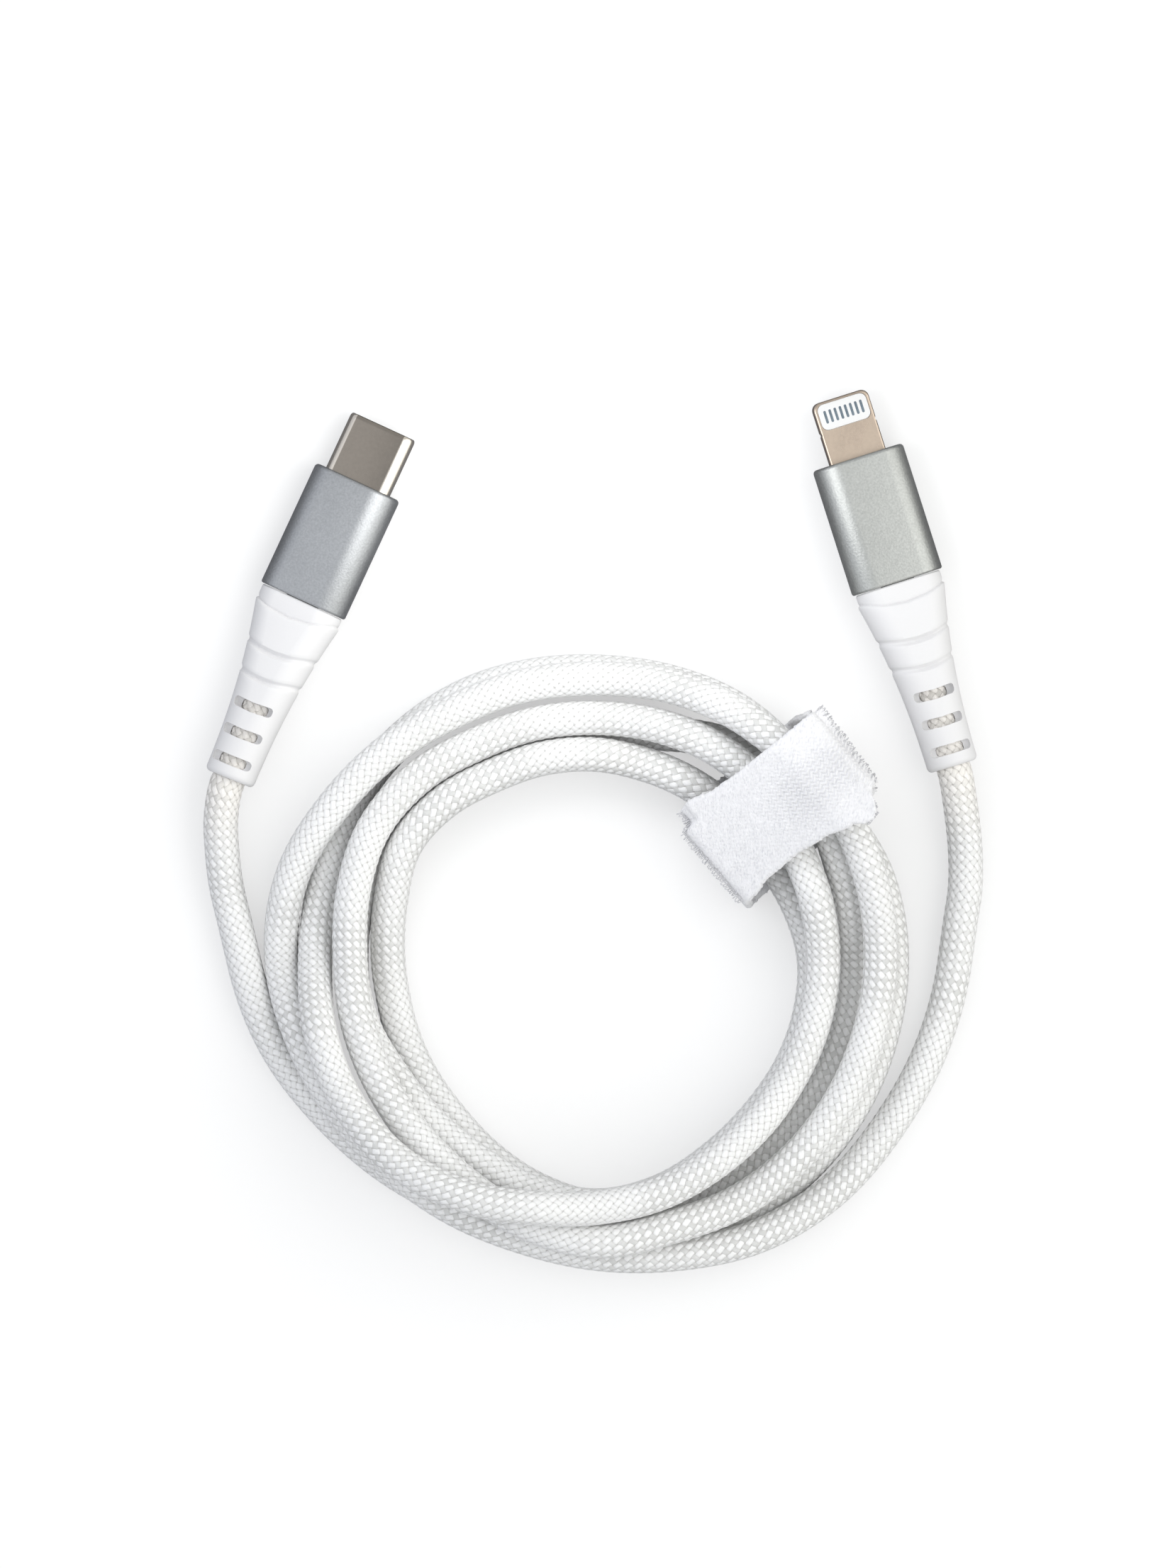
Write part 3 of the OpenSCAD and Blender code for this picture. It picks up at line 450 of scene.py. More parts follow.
def braidMaterial(length):
    look = yarnLook
    material, tree, shader = startMaterial("wovenYarn")
    uv = addNode(tree, "ShaderNodeUVMap", uv_map="surface").outputs["UV"]
    drift, speck = [noiseNode(tree, objectPlace(tree), look[scale]) for scale in ("driftScale", "speckScale")]
    # The yarns lie a little unevenly
    sway = vectorCalc(tree, "MULTIPLY_ADD", speck["Color"], cord["sway"], uv)
    yarns = useGroup(tree, braidYarns, Place=sway, Column=math.pi * cord["diameter"] / cord["columns"])
    # Painted shade: the yarns of one lean are shaded, dimmer in slow noise patches, for the light they
    # reflect less
    shade = mixColour(tree, ramp(tree, drift["Fac"], *look["dimShadeRange"]), look["shaded"], look["dimShade"])
    lean = calc(tree, "MULTIPLY", yarns.outputs["Lean"], ramp(tree, speck["Fac"], *look["leanShadeRange"]))
    yarn = mixColour(tree, lean, look["white"], shade)
    # The yarn is creamier where it leaves the strain reliefs
    middle = length / cord["pitch"] / 2
    fromMiddle = calc(tree, "ABSOLUTE", calc(tree, "SUBTRACT", splitPlace(tree, uv)["X"], middle))
    creamFrom = middle - look["creamRun"]
    tint = mixColour(tree, ramp(tree, fromMiddle, creamFrom, creamFrom + look["creamFade"]),
                     (1, 1, 1, 1), look["cream"])
    # Painted shade in the pits: where the cells are low the colour turns to the pit shade
    clearOfPitShade = ramp(tree, yarns.outputs["Height"], *look["pitShadeRange"])
    feedAll(tree, shader, {
        "Base Color": vectorCalc(tree, "MULTIPLY", mixColour(tree, clearOfPitShade, look["pitShade"], yarn), tint),
        "Roughness": ramp(tree, drift["Fac"], *look["roughRange"]),
        "Sheen Weight": look["sheen"], "Sheen Roughness": look["sheenRough"]})
    height = calc(tree, "MULTIPLY_ADD", yarns.outputs["Thread"], look["threadHigh"], yarns.outputs["Height"])
    height = calc(tree, "MULTIPLY_ADD", speck["Fac"], look["speckHigh"], height)
    bumpInto(tree, shader, height, look["bump"], look["bumpDepth"])
    return material


print("stage: braided cord")
braidYarns = braidGroup()
braidedCord, cordPath, cordLength = buildCord()
wovenYarn = braidMaterial(cordLength)
braidedCord.data.materials.append(wovenYarn)
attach(braidedCord, "cable")
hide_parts("oval_lead", "cord_coil", "tab_lead")
print("cord length in mm", round(cordLength, 1))


# Modelling helpers: pieces are shaped in millimetres in a plug's own frame
def pick(piece, test, kind="VERT"):
    if bpy.context.object is not piece:
        makeActive(piece)
    bpy.ops.object.mode_set(mode="EDIT")
    bpy.ops.mesh.select_mode(type=kind)
    bpy.ops.mesh.select_all(action="DESELECT")
    bm = bmesh.from_edit_mesh(piece.data)
    for part in {"VERT": bm.verts, "EDGE": bm.edges, "FACE": bm.faces}[kind]:
        part.select = test(part)
    bm.select_flush_mode()
    bmesh.update_edit_mesh(piece.data)


def leaveEdit():
    bpy.ops.object.mode_set(mode="OBJECT")


def applyModifier(piece, kind, **settings):
    makeActive(piece)
    modifier = piece.modifiers.new(kind.lower(), kind)
    for key, value in settings.items():
        setattr(modifier, key, value)
    bpy.ops.object.modifier_apply(modifier=modifier.name)


def cutAway(piece, *cutters):
    for cutter in cutters:
        applyModifier(piece, "BOOLEAN", object=cutter, operation="DIFFERENCE", solver="EXACT")
        bpy.data.objects.remove(cutter)


# A bar with round sides that runs back from the given y
def stadiumBar(name, width, thick, front, length, sides=64):
    deselectAll()
    bpy.ops.mesh.primitive_cylinder_add(vertices=sides, radius=thick / 2, depth=length,
                                        location=(0, front - length / 2, 0), rotation=(math.pi / 2, 0, 0))
    piece = bpy.context.object
    piece.name = name
    bpy.ops.object.transform_apply(location=True, rotation=True)
    for side in (-1, 1):
        pick(piece, lambda v: v.co.x * side > tiny)
        bpy.ops.transform.translate(value=(side * (width - thick) / 2, 0, 0))
    leaveEdit()
    return piece


def blockBar(name, width, thick, front, length, height=0.0):
    deselectAll()
    bpy.ops.mesh.primitive_cube_add(size=1, location=(0, front - length / 2, height))
    piece = bpy.context.object
    piece.name = name
    piece.scale = (width, length, thick)
    bpy.ops.object.transform_apply(location=True, scale=True)
    return piece


# Rounds the edges that pass the test
def roundPicked(piece, test, width, segments, clamp=False):
    pick(piece, test, "EDGE")
    bpy.ops.mesh.bevel(offset=width, offset_type="OFFSET", segments=segments, profile=0.5, affect="EDGES",
                       clamp_overlap=clamp)
    leaveEdit()


# Rounds the edges whose two ends pass the test
def roundEdges(piece, test, width, segments):
    roundPicked(piece, lambda e: all(test(v.co) for v in e.verts), width, segments, True)


# Rounds every edge that is sharper than the given angle
def roundSharp(piece, width, segments, degrees):
    applyModifier(piece, "BEVEL", width=width, segments=segments, limit_method="ANGLE",
                  angle_limit=math.radians(degrees))


def smoothShade(piece, degrees=30):
    makeActive(piece)
    bpy.ops.object.shade_smooth_by_angle(angle=math.radians(degrees))


# Puts a finished piece in its place, with its object at the origin
def settle(piece, seat, material, body, nodes):
    piece.data.transform(Matrix.Scale(mm, 4) @ seat)
    piece.data.materials.clear()
    piece.data.materials.append(material)
    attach(piece, body)
    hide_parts(*nodes)


def copyOf(piece, name, offset=(0, 0, 0)):
    twin = piece.copy()
    twin.data = piece.data.copy()
    twin.name = name
    bpy.context.scene.collection.objects.link(twin)
    twin.data.transform(Matrix.Translation(offset))
    return twin


def joinAll(name, pieces):
    deselectAll()
    for piece in pieces:
        piece.select_set(True)
    bpy.context.view_layer.objects.active = pieces[0]
    bpy.ops.object.join()
    pieces[0].name = name
    return pieces[0]


# Shared effects
grainLook = {"slowRange": (0.3, 0.7), "roughSpread": 0.05, "sideBlend": 0.1}


# Fine grain: a slow change of shade and a fast change of height
def grainGroup():
    group, entry, leave = startGroup(
        "fineGrain", {"Place": None, "Fine": 6000.0, "Slow": 250.0, "Spread": 0.06,
                      "Colour": (0.8, 0.8, 0.8, 1)}, ("Colour", "Height", "Slow"))
    fine, slow = [noiseNode(group, entry["Place"], entry[scale], 3)["Fac"] for scale in ("Fine", "Slow")]
    both = calc(group, "ADD", fine, slow)
    shade = calc(group, "MULTIPLY_ADD", calc(group, "SUBTRACT", both, 1.0), entry["Spread"], 1.0)
    colour = vectorCalc(group, "SCALE", entry["Colour"], None, None, shade)
    feedAll(group, leave, {"Colour": colour, "Height": fine, "Slow": slow})
    return group


# A material with grain on it. Across a plug's own x it may change to a lighter colour on the round sides, a
# painted highlight
def grainMaterial(name, colour, rough, metallic=0.0, fine=6000.0, slow=250.0, spread=0.06, bump=0.05,
                  depth=0.00002, plug=None, sides=None, sheen=0.0):
    material, tree, shader = startMaterial(name)
    place = objectPlace(tree)
    grain = useGroup(tree, fineGrain, Place=place, Fine=fine, Slow=slow, Spread=spread, Colour=(*colour, 1))
    shown = grain.outputs["Colour"]
    if sides:
        sideHighlight, start = sides
        turn = plugFrame(plug).to_3x3()
        across = vectorCalc(tree, "DOT_PRODUCT", place, turn @ Vector((1 / mm, 0, 0)), out="Value")
        middle = (turn @ Vector((1, 0, 0))).dot(plugFrame(plug).translation)
        far = calc(tree, "ABSOLUTE", calc(tree, "SUBTRACT", across, middle))
        share = ramp(tree, far, start, start + grainLook["sideBlend"])
        shown = mixColour(tree, share, shown, (*sideHighlight, 1))
    roughness = ramp(tree, grain.outputs["Slow"], *grainLook["slowRange"], rough - grainLook["roughSpread"],
                     rough + grainLook["roughSpread"])
    feedAll(tree, shader, {"Base Color": shown, "Metallic": metallic, "Sheen Weight": sheen,
                           "Roughness": roughness})
    bumpInto(tree, shader, grain.outputs["Height"], bump, depth)
    return material


# Sleeves
sleeve = {"wall": 0.5, "front": 0.8, "frontRim": 0.45, "rearRim": 0.25, "rough": 0.45,
          "oval": (0.39, 0.40, 0.41), "tab": (0.45, 0.46, 0.445), "pass": 0.1}
# Sides on the round ends of the plugs' bars, and the slack of every test of place
barSides, tiny = 96, 0.001


def buildSleeve(kind):
    plug = plugs[kind]
    w = plug["sleeveW"]
    piece = stadiumBar(kind + "Sleeve", w, sleeveT, 0, sleeveL, barSides)
    roundEdges(piece, lambda p: p.y > -tiny, sleeve["frontRim"], 6)
    roundEdges(piece, lambda p: p.y < tiny - sleeveL, sleeve["rearRim"], 4)
    cavity = stadiumBar("cavity", w - 2 * sleeve["wall"], sleeveT - 2 * sleeve["wall"], -sleeve["front"],
                        sleeveL, barSides)
    gap = 2 * sleeve["pass"]
    if kind == "oval":
        opening = stadiumBar("opening", shell["w"] + gap, shell["t"] + gap, 1, 3)
    else:
        opening = blockBar("opening", tongue["w"] + gap, tongue["t"] + gap, 1, 3)
    cutAway(piece, cavity, opening)
    smoothShade(piece)
    settle(piece, plugFrame(plug), satinMetal[kind], "cable",
           [kind + "_plug_sleeve"])


# Oval plug's shell
shell = {"w": 8.25, "t": 2.4, "wall": 0.3, "out": 7, "in": 3.55, "lip": 0.05, "drawn": 0.28, "drawnL": 0.5,
         "colour": (0.27, 0.24, 0.205), "rough": 0.2, "sides": (0.66, 0.61, 0.54), "flatHalf": 3.0}


# The shell's mouth is drawn in on a curve over its last half millimetre
def drawMouthIn(piece, thick, depth):
    start, run = shell["out"] - shell["drawnL"], shell["drawnL"]
    for share in (0, 0.35, 0.6, 0.8, 0.93):
        pick(piece, lambda v: True)
        bpy.ops.mesh.bisect(plane_co=(0, start + share * run, 0), plane_no=(0, 1, 0))
    leaveEdit()
    for v in piece.data.vertices:
        share = min(1, max(0, v.co.y - start) / run)
        size = 1 - depth * (1 - math.sqrt(1 - share ** 2)) / (thick / 2)
        side = math.copysign((shell["w"] - shell["t"]) / 2, v.co.x)
        v.co.x, v.co.z = side + (v.co.x - side) * size, v.co.z * size


def buildShell():
    front, length, wall = shell["out"], shell["out"] + shell["in"], 2 * shell["wall"]
    piece = stadiumBar("ovalShell", shell["w"], shell["t"], front, length, barSides)
    drawMouthIn(piece, shell["t"], shell["drawn"])
    roundEdges(piece, lambda p: p.y > front - tiny, shell["lip"], 4)
    bore = stadiumBar("bore", shell["w"] - wall, shell["t"] - wall, front + 1, length + 2, barSides)
    drawMouthIn(bore, shell["t"] - wall, shell["drawn"] / 2)
    cutAway(piece, bore)
    smoothShade(piece)
    settle(piece, plugFrame(plugs["oval"]), darkNickel, "cable", ["oval_plug_shell"])


# Slim plug's tongue, pad and contacts
tongue = {"w": 6.7, "t": 1.5, "out": 7.25, "in": 3.2, "corner": 0.9, "edge": 0.3, "notch": 0.3,
          "notchDeep": 0.14, "padW": 5.9, "padL": 3.05, "padRim": 0.3, "padCorner": 0.75, "padGap": 0.03,
          "padRound": 0.04, "flangeL": 1.6, "flangeAt": -0.85, "flangeInset": 1.2,
          "colour": (0.49, 0.405, 0.33), "rough": 0.28}
contacts = {"count": 8, "pitch": 0.62, "w": 0.3, "l": 1.5, "stand": 0.015, "deep": 0.12,
            "corner": 0.45, "round": 0.02}


def roundedBlock(name, width, length, thick, middle, corner, segments=6):
    piece = blockBar(name, width, thick, middle + length / 2, length)
    roundPicked(piece, lambda e: abs(e.verts[0].co.z - e.verts[1].co.z) > thick / 2, corner, segments)
    return piece


def buildTongue():
    t, seat = tongue, plugFrame(plugs["tab"])
    piece = blockBar("slimTongue", t["w"], t["t"], t["out"], t["out"] + t["in"])
    roundPicked(piece, lambda e: abs(e.verts[0].co.z - e.verts[1].co.z) > t["t"] / 2 and e.verts[0].co.y > 0,
                t["corner"], 8)
    roundPicked(piece, lambda e: (e.verts[0].co.z * e.verts[1].co.z > 0
                                  and not all(v.co.y < tiny - t["in"] for v in e.verts)), t["edge"], 5)
    padMiddle = t["out"] - t["padRim"] - t["padL"] / 2
    window = roundedBlock("window", t["padW"], t["padL"], t["t"] + 2, padMiddle, t["padCorner"])
    notches = []
    for side in (-1, 1):
        deselectAll()
        place = (side * (t["w"] / 2 + t["notch"] - t["notchDeep"]),
                 t["out"] - t["padRim"] - t["padL"] - t["notch"], 0)
        bpy.ops.mesh.primitive_cylinder_add(vertices=32, radius=t["notch"], depth=4, location=place)
        bpy.ops.object.transform_apply(location=True)
        notches.append(bpy.context.object)
    cutAway(piece, window, *notches)
    flange = stadiumBar("flange", plugs["tab"]["sleeveW"] - t["flangeInset"], 2 * t["t"], t["flangeAt"],
                        t["flangeL"])
    piece = joinAll("slimTongue", [piece, flange])
    smoothShade(piece)
    applyModifier(piece, "WEIGHTED_NORMAL", keep_sharp=True)
    settle(piece, seat, champagneMetal, "cable", ["tab_plug_tongue"])
    pad = roundedBlock("contactPad", t["padW"] - 2 * t["padGap"], t["padL"] - 2 * t["padGap"],
                       t["t"] - 0.02, padMiddle, t["padCorner"])
    roundSharp(pad, t["padRound"], 2, 60)
    smoothShade(pad)
    settle(pad, seat, paleMould, "cable", ["tab_plug_contact_insulator"])
    buildContacts(padMiddle, seat)


def buildContacts(middle, seat):
    c = contacts
    for upper in (True, False):
        first = roundedBlock("contact", c["w"], c["l"], c["deep"], middle, c["w"] * c["corner"], 4)
        first.data.transform(Matrix.Translation((0, 0, tongue["t"] / 2 - c["deep"] / 2 + c["stand"])))
        roundSharp(first, c["round"], 2, 50)
        steps = [(i - (c["count"] - 1) / 2) * c["pitch"] for i in range(c["count"])]
        row = [copyOf(first, "contact", (x, 0, 0)) for x in steps]
        bpy.data.objects.remove(first)
        name = "upperContacts" if upper else "lowerContacts"
        piece = joinAll(name, row)
        if not upper:
            piece.data.transform(Matrix.Rotation(math.pi, 4, "Y"))
        smoothShade(piece)
        settle(piece, seat, slatePlate, "cable",
               ["tab_plug_%s_contacts" % ("upper" if upper else "lower")])


# Strain reliefs
relief = {"t": 5.9, "neckW": 10.1, "neckT": 5.5, "neckFrom": 0.08, "lipW": 10.4, "lipAt": 2.6, "lipBow": 1.1,
          "firstMark": 7, "markPitch": 3.25, "grooves": 2, "windows": 3, "grooveW": 0.9, "grooveDepth": 0.55,
          "windowL": 1.15, "windowW": 4.8, "web": 1.25, "exitEdge": 0.6, "bore": 4.1,
          "cutRound": 0.42, "cutHigh": 4, "cutBow": 0.8, "ringStep": 0.55, "power": 2.2}


def reliefWidth(y):
    r = relief
    return r["t"] + (r["lipW"] - r["t"]) * (max(0, reliefL - y) / (reliefL - r["lipAt"])) ** r["power"]


def reliefBow(y):
    return relief["lipBow"] * max(0, reliefL - y) / (reliefL - relief["lipAt"])


# Rings down the relief: distance from the sleeve, width, thickness and bow
def reliefRings():
    r = relief
    rings = [(r["neckFrom"], r["neckW"] - 0.3, r["neckT"] - 0.3, 0),
             (r["neckFrom"] + 0.15, r["neckW"], r["neckT"], 0)]
    for step, narrower, thinner in ((-0.5, 0, 0), (-0.3, 0.12, 0.12), (-0.16, 0.3, 0.35)):
        rings.append((r["lipAt"] + step, r["neckW"] - narrower, r["neckT"] - thinner, r["lipBow"]))
    for step, inset in ((-0.08, 0.45), (-0.02, 0.2), (0.08, 0.06), (0.25, 0)):
        y = r["lipAt"] + step
        rings.append((y, reliefWidth(y) - inset, r["t"] - inset, r["lipBow"]))
    grooves = [r["firstMark"] + i * r["markPitch"] for i in range(r["grooves"])]
    y = r["lipAt"] + 0.8
    while y < reliefL - r["exitEdge"]:
        if all(abs(y - g) > r["grooveW"] / 2 + 0.2 for g in grooves):
            rings.append((y, reliefWidth(y), r["t"], reliefBow(y)))
        y += r["ringStep"]
    for g in grooves:
        for k in range(9):
            part = k / 8 * 2 - 1
            depth = r["grooveDepth"] * smoothRamp((1 - abs(part)) * 1.1)
            y = g + part * r["grooveW"] / 2
            rings.append((y, reliefWidth(y) - 0.6 * depth, r["t"] - 2 * depth, reliefBow(y)))
    for k in range(7):
        a = math.pi / 2 * k / 6
        y = reliefL - r["exitEdge"] * (1 - math.sin(a))
        inset = 2 * r["exitEdge"] * (1 - math.cos(a)) * 0.9
        rings.append((y, r["t"] - inset, r["t"] - inset, 0))
    return sorted(rings)


def buildRelief(kind):
    r, rings = relief, reliefRings()
    y0, w0, t0 = rings[0][:3]
    piece = stadiumBar(kind + "Relief", w0, t0, -y0, 0.1, barSides)
    # The rear face is drawn out ring by ring, then each ring is set to its width, thickness and bow
    pick(piece, lambda f: f.normal.y < -0.9, "FACE")
    for ring in rings[2:]:
        bpy.ops.mesh.extrude_region_move(TRANSFORM_OT_translate={"value": (0, -1, 0)})
    leaveEdit()
    mesh = piece.data
    levels = sorted({round(v.co.y, 3) for v in mesh.vertices}, reverse=True)
    for v in mesh.vertices:
        y, w, t, bow = rings[min(range(len(levels)), key=lambda i: abs(levels[i] - v.co.y))]
        side = 0 if abs(v.co.x) < tiny else math.copysign(1, v.co.x)
        x, z = v.co.x - side * (w0 - t0) / 2, v.co.z
        x, z = x / t0 * t + side * (w - t) / 2, z / t0 * t
        lean = x * math.tan(math.radians(plugs[kind]["lean"])) * max(0, 1 - y / r["lipAt"])
        v.co = (x, -y - lean + bow * (x / (w / 2)) ** 2, z)
    cutters = [stadiumBar("bore", r["bore"], r["bore"], 2, reliefL + 4)]
    for i in range(r["grooves"], r["grooves"] + r["windows"]):
        y = r["firstMark"] + i * r["markPitch"]
        for side in (-1, 1):
            cutter = blockBar("windowCut", r["windowW"], r["cutHigh"], -y + r["windowL"] / 2, r["windowL"],
                              side * (r["web"] + r["cutHigh"] / 2))
            roundSharp(cutter, r["cutRound"], 5, 60)
            applyModifier(cutter, "SUBSURF", levels=1, render_levels=1, subdivision_type="SIMPLE")
            for v in cutter.data.vertices:
                v.co.y += reliefBow(y) * r["cutBow"] * (v.co.x / (reliefWidth(y) / 2)) ** 2
            cutters.append(cutter)
    cutAway(piece, *cutters)
    smoothShade(piece, 40)
    settle(piece, reliefFrame(plugs[kind]), softRubber, "cable", [kind + "_plug_relief"])


print("stage: metals and mouldings")
fineGrain = grainGroup()
satinMetal = {kind: grainMaterial("satinAluminium_" + kind, sleeve[kind], sleeve["rough"], 1.0, fine=4200,
                                  slow=60, spread=0.5, bump=0.5, depth=0.00005) for kind in plugs}
# The shell gets a lighter colour on its round sides past flatHalf: a painted highlight
darkNickel = grainMaterial("darkNickel", shell["colour"], shell["rough"], 1.0, fine=2600, slow=350,
                           spread=0.16, bump=0.10, depth=0.00003, plug=plugs["oval"],
                           sides=(shell["sides"], shell["flatHalf"]))
champagneMetal = grainMaterial("champagneMetal", tongue["colour"], tongue["rough"], 1.0, fine=2600, slow=300,
                               spread=0.16, bump=0.10, depth=0.00003)
paleMould = grainMaterial("paleMould", (0.76, 0.76, 0.755), 0.35, fine=3000, spread=0.03)
slatePlate = grainMaterial("slatePlate", (0.15, 0.19, 0.225), 0.4, 0.6, fine=4000, slow=900, spread=0.5)
softRubber = grainMaterial("softRubber", (0.77, 0.765, 0.77), 0.5, fine=3500, slow=160, spread=0.025,
                           bump=0.12, depth=0.00003, sheen=0.1)
print("stage: sleeves, shell and tongue")
buildSleeve("oval")
buildSleeve("tab")
buildShell()
buildTongue()
print("stage: strain reliefs")
buildRelief("oval")
buildRelief("tab")
# The plug at the cord's far end: the pieces made here and the inner ones that the model carries
slimPlug = [bpy.data.objects[name] for name in
            ("tabSleeve", "slimTongue", "contactPad", "upperContacts", "lowerContacts", "tabRelief")]
slimPlug += [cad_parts["tab_plug_" + part] for part in
             ("board", "board_chips", "shield_can", "inner_mould", "conductors", "jacket_end")]


# Inner pieces that the model carries
innerLooks = {
    "oval_plug_insulator": ("darkMould", (0.035, 0.035, 0.04), 0.4, 0.0),
    "oval_plug_upper_contacts": ("goldPlate", (0.83, 0.62, 0.27), 0.25, 1.0),
    "oval_plug_ground_springs": ("springSteel", (0.62, 0.61, 0.59), 0.3, 1.0),
    "oval_plug_board": ("greenBoard", (0.02, 0.16, 0.08), 0.35, 0.0),
    "oval_plug_board_chips": ("chipMould", (0.03, 0.03, 0.032), 0.5, 0.0),
    "oval_plug_shield_can": ("tinnedSteel", (0.66, 0.66, 0.65), 0.32, 1.0),
    "oval_plug_inner_mould": ("milkyMould", (0.80, 0.80, 0.76), 0.45, 0.0),
    "oval_plug_conductors": ("redWire", (0.55, 0.04, 0.03), 0.4, 0.0),
    "oval_plug_jacket_end": ("jacketYarn", (0.85, 0.85, 0.83), 0.6, 0.0)}
innerTwins = {"oval_plug_lower_contacts": "oval_plug_upper_contacts",
              "oval_plug_latch": "oval_plug_ground_springs"}


def dressInnerPieces():
    looks = {node: grainMaterial(name, colour, rough, metallic, fine=3000, slow=500, spread=0.12, bump=0.1)
             for node, (name, colour, rough, metallic) in innerLooks.items()}
    for name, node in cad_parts.items():
        like = name.replace("tab_plug_", "oval_plug_")
        like = innerTwins.get(like, like)
        if like in looks and not (name.startswith("tab_plug_") and "contact" in name):
            node.data.materials.clear()
            node.data.materials.append(looks[like])


print("stage: inner pieces")
dressInnerPieces()


# Woven strap: distances from the bundle's centre, heights, and crosswise places
strap = {"heading": 40.4, "thick": 1.1, "across": 12.6, "grid": 0.16, "curveStep": 0.12,
         "foldAt": 17.1, "hingeAt": 18.25, "hingeZ": 9, "slope": 26.9, "crestAt": 31.3, "crestZ": 15.6,
         "cornerAt": 36.4, "cornerZ": 16.0, "footAt": 36.0, "tabZ": 7.0, "endAt": 37.6,
         "underZ": 0.66, "sideAt": 34.2, "underTabZ": 5.35, "underEnd": 36.6, "seamZ": 7.4,
         "blendAt": 19.4, "blendHigh": 2.3, "setBack": 1.25, "setBackFrom": 4.3, "setBackStep": 0.5,
         "setBackRun": 2.5, "rim": 0.45, "endSoft": 0.7, "fray": 0.20, "endFray": 0.12, "endRun": 2.4,
         "napDeep": 0.09, "rowDeep": 0.07, "rowsFrom": 9.0, "rowPitch": 0.55, "zigPitch": 0.8,
         "zigHigh": 0.16, "rowsAt": 11, "rowsRun": 4, "rowsReach": 3.2}
# The loops of yarn at the strap's ends and on its fold, coloured grey as painted shade
tuft = {"ring": 0.19, "yarn": 0.06, "stretch": (1.5, 0.75, 1), "every": 0.36, "foldEvery": 0.34, "foldZ": 8.7,
        "jitter": 0.05, "swing": 0.5, "sizes": (0.75, 1.2), "secondIn": 0.35, "secondUp": 0.3}
# The cloth's looks: each range is that of a noise or a row, with what it turns into where four are given
# Painted shade: the hollow colour darkens the nap's low places and the valleys between the weave's rows
nap = {"white": (0.86, 0.857, 0.872, 1), "hollowShade": (0.72, 0.72, 0.75, 1), "turn": 35, "draw": (0.35, 1, 1),
       "fine": 5200.0, "slow": 1300.0, "spread": 0.12, "hollowShadeRange": (0.30, 0.45),
       "patchRange": (0.38, 0.58, 0.3, 1), "rowRange": (-0.35, -0.9), "rowShadeAmount": 0.75,
       "lateRange": (0, 6, 0.15, 1), "middleRange": (1.5, 5, 1, 0.15), "rough": 0.9, "sheen": 0.4,
       "sheenRough": 0.5, "slowHigh": 0.8, "rowHigh": 0.45, "bump": 0.6, "bumpDepth": 0.0002}
# The worn corner of the flap, as distance from the centre, crosswise place and height
wornCorner = [(35.5, -5.8, 16.3), (35.2, -7.2, 16.2), (34.6, -8.1, 16.1), (33.2, -8.35, 16.0)]
# Long edges as (distance along the band, crosswise place), measured from the seam on the inner side
flapHigh = [(0, 6.6), (3.4, 6.9), (7, 6.0), (11, 5.7), (19, 5.55), (24, 5.45), (36, 5.1)]
flapLow = [(0, -6.4), (2.2, -6.3), (4.6, -5.75), (9.5, -5.75), (13.5, -6.3), (17.3, -7.3), (18.7, -8.2),
           (19.5, -8.35), (20.4, -8.0), (20.8, -7.2), (21.2, -5.9), (21.6, -5.6), (36, -5.4)]
wrapHigh = [(0, 6.6), (8, 6.5), (24, 6.3), (32, 5.6)]
wrapLow = [(0, -6.4), (3, -7.0), (10, -6.9), (24, -6.5), (32, -6.0)]


def strapPoint(r, s, z):
    a = math.radians(strap["heading"])
    return Vector((coilCentre[0] + r * math.cos(a) - s * math.sin(a),
                   coilCentre[1] + r * math.sin(a) + s * math.cos(a), z))


# A line through the corners, each rounded by its own radius, in even steps
def roundedLine(corners, step):
    line = [Vector(corners[0][:2])]
    for before, corner, after in zip(corners, corners[1:], corners[2:]):
        here = Vector(corner[:2])
        back, on = (Vector(before[:2]) - here).normalized(), (Vector(after[:2]) - here).normalized()
        half = back.angle(on) / 2
        radius, turn = corner[2], math.pi - 2 * half
        middle = here + (back + on).normalized() * radius / math.sin(half)
        first = here + back * radius / math.tan(half) - middle
        side = 1 if back.x * on.y - back.y * on.x < 0 else -1
        count = max(4, int(radius * turn / step) + 1)
        for i in range(count + 1):
            a = side * turn * i / count
            line.append(middle + Vector((first.x * math.cos(a) - first.y * math.sin(a),
                                         first.x * math.sin(a) + first.y * math.cos(a))))
    line.append(Vector(corners[-1][:2]))
    lengths = runLengths(line)

    def at(distance):
        i = max(0, min(len(line) - 2, sum(1 for s in lengths[1:-1] if s < distance)))
        span = max(lengths[i + 1] - lengths[i], 1e-9)
        ahead = (line[i + 1] - line[i]) / span
        return line[i] + ahead * (distance - lengths[i]), ahead
    return at, lengths[-1]


def tableValue(table, x):
    if x <= table[0][0]:
        return table[0][1]
    for (x0, y0), (x1, y1) in zip(table, table[1:]):
        if x <= x1:
            return y0 + (y1 - y0) * smoothRamp((x - x0) / (x1 - x0))
    return table[-1][1]


# Rows of the weave: a zigzag along the band, strongest towards the outer end
def weaveHeight(t, s):
    zig = abs((t / strap["zigPitch"]) % 1 - 0.5) * 4 - 1
    row = math.sin(2 * math.pi * (s - strap["zigHigh"] * zig) / strap["rowPitch"])
    late = smoothRamp((t - strap["rowsAt"]) / strap["rowsRun"])
    show = (0.25 + 0.75 * late) * (0.35 + 0.65 * math.exp(-((s + 1) / strap["rowsReach"]) ** 2))
    return row * show


def napHeight(t, s, layer):
    coarse = noise.noise(Vector((t * 0.9 + s * 0.7, s * 2.2 - t * 0.8, layer)))
    fine = noise.noise(Vector((t * 4.2, s * 4.2, layer + 7)))
    return coarse * 0.6 + fine * 0.6


